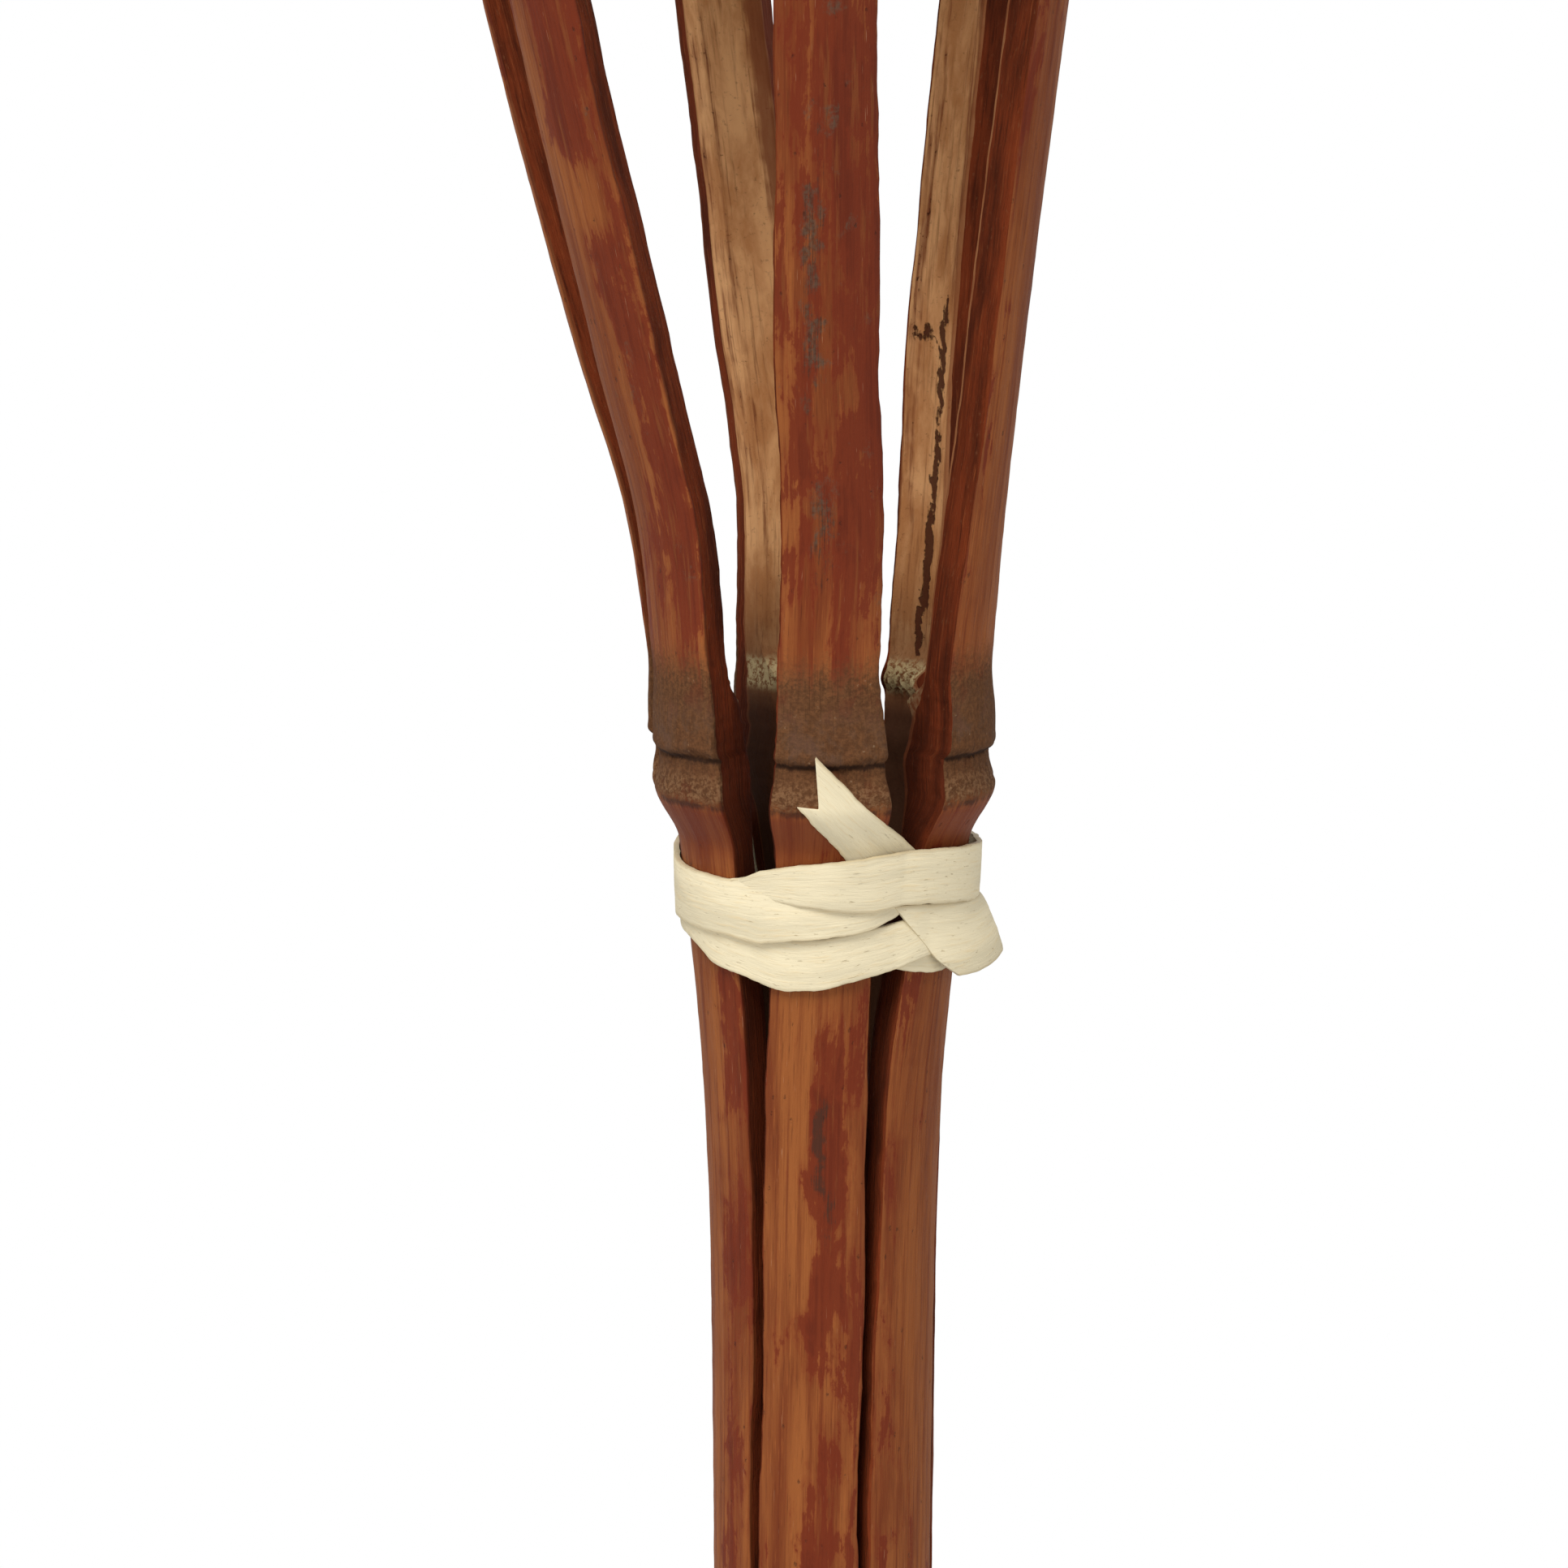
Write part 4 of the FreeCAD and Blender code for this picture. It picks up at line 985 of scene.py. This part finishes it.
def add_course(node, number, finish):
    at, middle = course_line(node)
    low, high = (corner.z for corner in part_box(node))
    piece, turn, slot = add_ring(f"basket_{node}", 360, 16)
    bearing = turn * 2 * np.pi - np.pi
    wrapped = (np.concatenate([at - 2 * np.pi, at, at + 2 * np.pi]), np.tile(middle, 3))
    radius = smooth(*wrapped, bearing)
    slope = (smooth(*wrapped, bearing + 0.01) - smooth(*wrapped, bearing - 0.01)) / 0.02
    around = slot * 2 * np.pi
    tall, thick = (high - low) / 2 - 0.1 * MM, 0.5 * MM
    out = squared(np.cos(around), 0.45) * thick * (1 + 0.15 * np.sin(around) ** 2)
    up = squared(np.sin(around), 0.45) * tall * (1 + 0.03 * ripple(bearing * 2, 60 + number, 5))
    face = out + 0.05 * MM * ripple(up / 0.0019 + number, 70 + number, 3) * np.sign(np.cos(around))
    normal = np.stack([np.ones_like(radius), -slope / radius])
    normal = normal / np.linalg.norm(normal, axis=0)
    radial, sideways = radius + face * normal[0], face * normal[1]
    x = radial * np.sin(bearing) + sideways * np.cos(bearing)
    y = -radial * np.cos(bearing) + sideways * np.sin(bearing)
    lean = 0.12 * MM * ripple(bearing / (2 * np.pi) * 3, 90 + number, 3)
    move_points(piece, np.column_stack([x, y, (low + high) / 2 + up + np.clip(lean, -0.0001, 0.0001)]))
    strip = np.column_stack([np.sin(bearing) * 42, np.cos(bearing) * 42, up * 1000 + number * 9])
    keep_vectors(piece, "strip", strip)
    keep_numbers(piece, "lane", 0.5 + up / (2 * tall) * 0.9)
    outward(piece)
    piece.data.materials.append(finish)
    smoothed(piece, 40)
    return piece


def weave_finish(name, colour):
    """Split rattan of the basket: fibres that run round it, uneven brown from one stretch to the next."""
    f = Finish(name, Specular_IOR_Level=0.4)
    strip, lane = f.attribute("strip", "Vector"), f.attribute("lane")
    fibres = f.drawn(strip, (0.06, 0.06, 1), 3.2, 5, 0.65)
    broad = f.drawn(strip, (0.6, 0.6, 0.5), 0.11, 4, 0.6)
    dots = f.drawn(strip, (0.5, 0.5, 1.5), 1.6, 3, 0.6)
    tone = f.mixed(broad.between(0.35, 0.68), tinted(colour, 1.25), tinted(colour, 0.58))
    tone = f.mixed(fibres.between(0.50, 0.72) * 0.65, tone, tinted(colour, 0.30))
    tone = f.mixed(fibres.between(0.42, 0.26) * 0.5, tone, tinted(colour, 1.8))
    tone = f.mixed(dots.between(0.64, 0.74) * 0.5, tone, tinted(colour, 0.25))
    # Painted shade: darker along both edges of each strip, where neighbouring courses and turns meet.
    tone = f.mixed((lane - 0.5).size().between(0.38, 0.46) * 0.5, tone, tinted(colour, 0.4))
    return f.surface(tone, 0.45 + fibres * 0.25, fibres + dots * 0.3, 0.14)


def hoop_finish(colour):
    """Round cane: glossy bark with lengthwise lines and darker joints."""
    f = Finish("hoop_cane", Specular_IOR_Level=0.5)
    strip = f.attribute("strip", "Vector")
    lines = f.drawn(strip, (0.05, 1, 1), 2.6, 5, 0.6)
    broad = f.drawn(strip, (0.25, 0.4, 1), 0.25, 4, 0.6)
    tone = f.mixed(broad.between(0.36, 0.66), tinted(colour, 1.3), tinted(colour, 0.6))
    tone = f.mixed(lines.between(0.52, 0.72) * 0.6, tone, tinted(colour, 0.3))
    joints = f.parts(strip)[0] / HOOP_JOINTS
    joint = joints.maths("FRACT", joints)
    ring = (joint - 0.5).size().between(0.022, 0.004)
    tone = f.mixed(ring * 0.7, tone, tinted(colour, 0.28))
    return f.surface(tone, 0.34 + lines * 0.2, lines * 0.6 + ring * 1.4, 0.16)


def add_hoop(node, finish):
    low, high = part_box(node)
    centre, minor = (low + high) / 2, (high.z - low.z) / 2
    radius = (high.y - low.y) / 2 - minor
    piece, turn, slot = add_ring(f"basket_{node}", 320, 20)
    bearing, around = turn * 2 * np.pi, slot * 2 * np.pi
    arc = bearing * radius * 1000
    joint = np.abs((arc / HOOP_JOINTS) % 1 - 0.5) * HOOP_JOINTS
    swell = 1 + 0.05 * np.exp(-((joint / 1.1) ** 2)) - 0.04 + 0.02 * ripple(around / (2 * np.pi) * 3, 31, 4)
    size = minor * swell
    out = radius + size * np.cos(around)
    x, y = centre.x + out * np.sin(bearing), centre.y - out * np.cos(bearing)
    move_points(piece, np.column_stack([x, y, centre.z + size * np.sin(around)]))
    keep_vectors(piece, "strip", np.column_stack([arc, np.cos(around) * 2.5, np.sin(around) * 2.5]))
    outward(piece)
    piece.data.materials.append(finish)
    smoothed(piece, 50)
    return piece


def add_lashings(finish):
    """Twelve wraps of narrow strip, two turns each, round both hoops; one is modelled and copied."""
    low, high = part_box("rim_lashings")
    inner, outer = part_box("rim_hoop_inner"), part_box("rim_hoop_outer")
    centre = (low + high) / 2
    reach_out = high.y
    reach_in = inner[1].y - (inner[1].z - inner[0].z) - (high.y - outer[1].y)
    middle, half, tall = (reach_out + reach_in) / 2, (reach_out - reach_in) / 2, (high.z - low.z) / 2
    thick, width = 0.8 * MM, 2.35 * MM
    turns = []
    for side in (-1, 1):
        piece, turn, slot = add_ring(f"lashing_turn_{side + 2}", 72, 12)
        loop, around = turn * 2 * np.pi, slot * 2 * np.pi
        face = squared(np.cos(around), 0.5) * thick / 2
        lane = squared(np.sin(around), 0.5) * width / 2
        cave = 0.28 * MM * np.exp(-((np.cos(loop) / 0.35) ** 2))
        size = tall - thick / 2 - 0.03 * MM + face - cave
        radial = (half - tall) * np.tanh(np.cos(loop) * 3) + size * np.cos(loop)
        upward = size * np.sin(loop)
        sideways = side * 1.22 * MM + lane + 0.25 * MM * np.sin(loop + 0.4)
        move_points(piece, np.column_stack([sideways, -(middle + radial), upward]))
        keep_vectors(piece, "strip", np.column_stack([loop * 9, lane * 1000, np.full(len(loop), side * 5.0)]))
        keep_numbers(piece, "lane", 0.5 + lane / width * 0.9)
        outward(piece)
        turns.append(piece)
    wrap = joined_piece("lashing_wrap", turns)
    points = points_of(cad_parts["rim_lashings"])
    bearings = np.sort(np.degrees(np.arctan2(points[:, 0] - centre.x, centre.y - points[:, 1])))
    groups = np.split(bearings, np.where(np.diff(bearings) > 4)[0] + 1)
    if bearings[0] + 360 - bearings[-1] < 4:
        groups[0] = np.concatenate([groups[-1] - 360, groups[0]])
        groups.pop()
    start, copies = points_of(wrap), []
    for group in groups:
        angle = math.radians((group.min() + group.max()) / 2)
        copy = wrap.copy()
        copy.data = wrap.data.copy()
        bpy.context.scene.collection.objects.link(copy)
        x = start[:, 0] * math.cos(angle) - start[:, 1] * math.sin(angle)
        y = start[:, 0] * math.sin(angle) + start[:, 1] * math.cos(angle)
        move_points(copy, np.column_stack([x + centre.x, y + centre.y, start[:, 2] + centre.z]))
        copies.append(copy)
    bpy.data.objects.remove(wrap)
    piece = joined_piece("basket_lashings", copies)
    piece.data.materials.append(finish)
    smoothed(piece, 50)
    return piece


class TORCH_OT_basket(bpy.types.Operator):
    """Weave the basket's twelve courses and lay the two hoops of its rim"""

    bl_idname = "torch.basket"
    bl_label = "Basket"

    def execute(self, context):
        basket = context.scene.torch_basket
        weave = weave_finish("weave_rattan", tuple(basket.weave_colour))
        hoop = hoop_finish(tuple(basket.hoop_colour))
        for number, node in enumerate(COURSES):
            piece = add_course(node, number, weave)
            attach(piece, "torch_stand")
            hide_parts(node)
        lashings = add_lashings(weave)
        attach(lashings, "torch_stand")
        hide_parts("rim_lashings")
        for node in HOOPS:
            piece = add_hoop(node, hoop)
            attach(piece, "torch_stand")
            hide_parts(node)
        return {"FINISHED"}


# ---------------------------------------------------------------- head


def add_turned(node, name, sides, rings):
    """A solid of revolution with the outline of its CAD solid, smooth all round."""
    low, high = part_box(node)
    centre = (low + high) / 2
    points = points_of(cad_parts[node])
    away = np.hypot(points[:, 0] - centre.x, points[:, 1] - centre.y)
    heights = np.unique(np.round(points[:, 2], 5))
    radii = [away[np.abs(points[:, 2] - height) < 2e-5].max() for height in heights]
    keep = [(h, r) for h, r in zip(heights, radii) if r > 0.0001]
    at = np.linspace(low.z, high.z, rings)
    outline = smooth([h for h, _ in keep], [r for _, r in keep], np.clip(at, keep[0][0], keep[-1][0]))
    outline[[0, -1]] *= 0.9
    piece, side, ring = add_tube(name, sides, rings)
    angle = side / sides * 2 * np.pi
    radius = outline[ring]
    x, y = centre.x + radius * np.cos(angle), centre.y + radius * np.sin(angle)
    move_points(piece, np.column_stack([x, y, at[ring]]))
    outward(piece)
    smoothed(piece, 45)
    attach(piece, "snuffer")
    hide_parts(node)
    return piece


def painted_tin(colour):
    f = Finish("can_paint", Specular_IOR_Level=0.5)
    place = f.place()
    peel = f.noise(place, 1.1, 3, 0.5)
    dust = f.noise(place, 0.09, 5, 0.6)
    scuff = f.drawn(place, (1, 1, 5), 0.5, 6, 0.75)
    tone = f.mixed(dust.between(0.45, 0.75) * 0.4, colour, tinted(colour, 3.2))
    tone = f.mixed(scuff.between(0.68, 0.76) * 0.6, tone, (0.10, 0.095, 0.09))
    return f.surface(tone, 0.30 + dust * 0.22 + scuff.between(0.68, 0.76) * 0.2, peel, 0.03)


def spun_metal(name, colour, centre_x):
    f = Finish(name, Metallic=1.0)
    x, y, z = f.parts(f.place())
    out = ((x - centre_x) * (x - centre_x) + y * y).power(0.5)
    rings = f.noise(f.joined(out * 4, z * 4, 0.0), 1.4, 3, 0.6)
    wear = f.noise(f.place(), 0.22, 5, 0.65)
    tone = f.mixed(rings.between(0.35, 0.7), tinted(colour, 1.06), tinted(colour, 0.80))
    tone = f.mixed(wear.between(0.55, 0.75) * 0.45, tone, tinted(colour, 0.5))
    return f.surface(tone, 0.22 + rings * 0.16 + wear.between(0.5, 0.75) * 0.2, rings, 0.02)


def rubber_finish():
    f = Finish("gasket_rubber", Specular_IOR_Level=0.4)
    fine = f.noise(f.place(), 3.0, 3, 0.6)
    tone = f.mixed(fine.between(0.4, 0.7), (0.022, 0.022, 0.022), (0.045, 0.044, 0.042))
    return f.surface(tone, 0.6 + fine * 0.2, fine, 0.04)


def braided_cotton():
    f = Finish("wick_cotton", Specular_IOR_Level=0.2, Sheen_Weight=0.3)
    x, y, z = f.parts(f.place())
    turn = (x + 9.0).maths("ARCTAN2", y, x + 9.0) * (8 / math.pi)
    left = (turn + z * 0.55).maths("PINGPONG", turn + z * 0.55, 1.0)
    right = (turn - z * 0.55).maths("PINGPONG", turn - z * 0.55, 1.0)
    braid = left.greatest(right)
    fluff = f.noise(f.place(), 2.8, 4, 0.7)
    char = z.between(966, 972.5)
    tone = f.mixed(braid.between(0.3, 0.9), (0.40, 0.36, 0.28), (0.76, 0.72, 0.61))
    tone = f.mixed((char + (fluff - 0.5) * 0.9).between(0.3, 0.75), tone, (0.016, 0.014, 0.013))
    return f.surface(tone, 0.85 + fluff * 0.1, braid + fluff * 0.4, 0.5)


def turned_wood():
    f = Finish("knob_wood", Specular_IOR_Level=0.5, Coat_Weight=0.25, Coat_Roughness=0.25)
    place = f.place()
    rings = f.drawn(place, (1, 1, 0.12), 0.9, 5, 0.6, 0.6)
    pores = f.drawn(place, (1, 1, 0.15), 4.5, 3, 0.6)
    tone = f.mixed(rings.between(0.35, 0.66), (0.17, 0.078, 0.034), (0.060, 0.025, 0.011))
    tone = f.mixed(pores.between(0.6, 0.75) * 0.7, tone, (0.020, 0.009, 0.005))
    return f.surface(tone, 0.38 + pores * 0.15, pores + rings * 0.5, 0.08)


class TORCH_OT_head(bpy.types.Operator):
    """Turn the snuffer's knob and rivet, and give the canister, burner and wick their paint, metal and cotton"""

    bl_idname = "torch.head"
    bl_label = "Canister and burner"

    def execute(self, context):
        head = context.scene.torch_head
        centre = sum(c.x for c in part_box("canister_cup")) / 2 * 1000
        paint = painted_tin(tuple(head.paint_colour))
        steel = spun_metal("cap_metal", tuple(head.steel_colour), centre)
        brass = spun_metal("tube_metal", tuple(head.brass_colour), centre)
        finishes = {
            paint: ("canister_cup", "canister_collar", "canister_lid", "filler_neck"),
            steel: ("burner_cap", "snuffer_cap"),
            brass: ("wick_tube",),
            rubber_finish(): ("gasket",),
            braided_cotton(): ("wick",),
        }
        knob = add_turned("snuffer_knob", "head_knob", 48, 51)
        knob.data.materials.append(turned_wood())
        rivet = add_turned("snuffer_rivet", "head_rivet", 32, 11)
        rivet.data.materials.append(brass)
        for finish, nodes in finishes.items():
            for node in nodes:
                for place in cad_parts[node].material_slots:
                    place.material = finish
        return {"FINISHED"}


# ---------------------------------------------------------------- stage


class TORCH_OT_stage(bpy.types.Operator):
    """Set the floor, the soft lights and the camera"""

    bl_idname = "torch.stage"
    bl_label = "Stage"

    def execute(self, context):
        deselect()
        scene = context.scene
        scene.view_settings.view_transform = "Standard"
        ground = (0, 0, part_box("pole")[0].z)
        bpy.ops.mesh.primitive_circle_add(vertices=96, radius=2.4, fill_type="NGON", location=ground)
        bpy.ops.object.transform_apply(location=True)
        floor = named("floor")
        f = Finish("floor_paper", Roughness=0.9, Specular_IOR_Level=0.1)
        x, y, _ = f.parts(f.place())
        out = (x * x + y * y).power(0.5)
        f.surface(f.mixed(f.noise(f.place(), 0.02, 3), (0.84, 0.84, 0.84), (0.87, 0.87, 0.87)))
        f.tree.links.new(out.between(2350, 700).socket, f.shader.inputs["Alpha"])
        floor.data.materials.append(f.material)
        world = bpy.data.worlds.new("studio")
        world.use_nodes = True
        scene.world = world
        backdrop = world.node_tree.nodes["Background"]
        seen = world.node_tree.nodes.new("ShaderNodeBackground")
        for light, strength in ((backdrop, 0.50), (seen, 1.0)):
            light.inputs["Color"].default_value = (1, 1, 1, 1)
            light.inputs["Strength"].default_value = strength
        path = world.node_tree.nodes.new("ShaderNodeLightPath")
        mix = world.node_tree.nodes.new("ShaderNodeMixShader")
        links = world.node_tree.links
        links.new(path.outputs["Is Camera Ray"], mix.inputs[0])
        links.new(backdrop.outputs[0], mix.inputs[1])
        links.new(seen.outputs[0], mix.inputs[2])
        links.new(mix.outputs[0], world.node_tree.nodes["World Output"].inputs["Surface"])
        aim = Vector((-0.005, 0, 0.70))
        for name, place, size, power in (
            ("key_light", (-0.45, -1.15, 2.2), 0.9, 33),
            ("side_light", (-1.7, -0.7, 0.9), 1.0, 6),
            ("fill_light", (1.4, -1.3, 0.9), 1.3, 8),
            ("rim_light", (0.3, 1.8, 1.6), 1.2, 7),
        ):
            light = bpy.data.lights.new(name, "AREA")
            light.size, light.energy = size, power
            lamp = bpy.data.objects.new(name, light)
            lamp.location = place
            lamp.rotation_euler = (aim - Vector(place)).to_track_quat("-Z", "Y").to_euler()
            scene.collection.objects.link(lamp)
        lens = bpy.data.cameras.new("camera")
        lens.sensor_width, lens.lens = 36, 144.72
        lens.clip_start, lens.clip_end = 0.05, 60
        camera = bpy.data.objects.new("camera", lens)
        camera.location = (-0.00505, -0.7890, 0.8314)
        camera.rotation_euler = (math.radians(80.5), 0, 0)
        scene.collection.objects.link(camera)
        scene.camera = camera
        return {"FINISHED"}


# ---------------------------------------------------------------- panel


class TORCH_PT_panel(bpy.types.Panel):
    """Lists the torch's pieces and their settings"""

    bl_idname = "TORCH_PT_panel"
    bl_label = "Tiki Torch"
    bl_space_type = "VIEW_3D"
    bl_region_type = "UI"
    bl_category = "Torch"

    def draw(self, context):
        layout = self.layout
        for settings, operator in PARTS:
            box = layout.box()
            if settings:
                group = getattr(context.scene, settings)
                for name in group.bl_rna.properties.keys():
                    if name not in ("rna_type", "name"):
                        box.prop(group, name)
            box.operator(operator)


PARTS = (
    ("torch_cane", "torch.cane"),
    ("torch_tie", "torch.tie"),
    ("torch_basket", "torch.basket"),
    ("torch_head", "torch.head"),
    (None, "torch.stage"),
)
SETTINGS = {
    "torch_cane": TorchCaneSettings,
    "torch_tie": TorchTieSettings,
    "torch_basket": TorchBasketSettings,
    "torch_head": TorchHeadSettings,
}
OPERATORS = (TORCH_OT_cane, TORCH_OT_tie, TORCH_OT_basket, TORCH_OT_head, TORCH_OT_stage)
CLASSES = (*SETTINGS.values(), *OPERATORS, TORCH_PT_panel)


def register():
    for item in CLASSES:
        bpy.utils.register_class(item)
    for name, group in SETTINGS.items():
        setattr(bpy.types.Scene, name, bpy.props.PointerProperty(type=group))


def unregister():
    for name in SETTINGS:
        delattr(bpy.types.Scene, name)
    for item in reversed(CLASSES):
        bpy.utils.unregister_class(item)


def main():
    register()
    for _, operator in PARTS:
        group, name = operator.split(".")
        getattr(getattr(bpy.ops, group), name)()


if __name__ == "__main__":
    main()
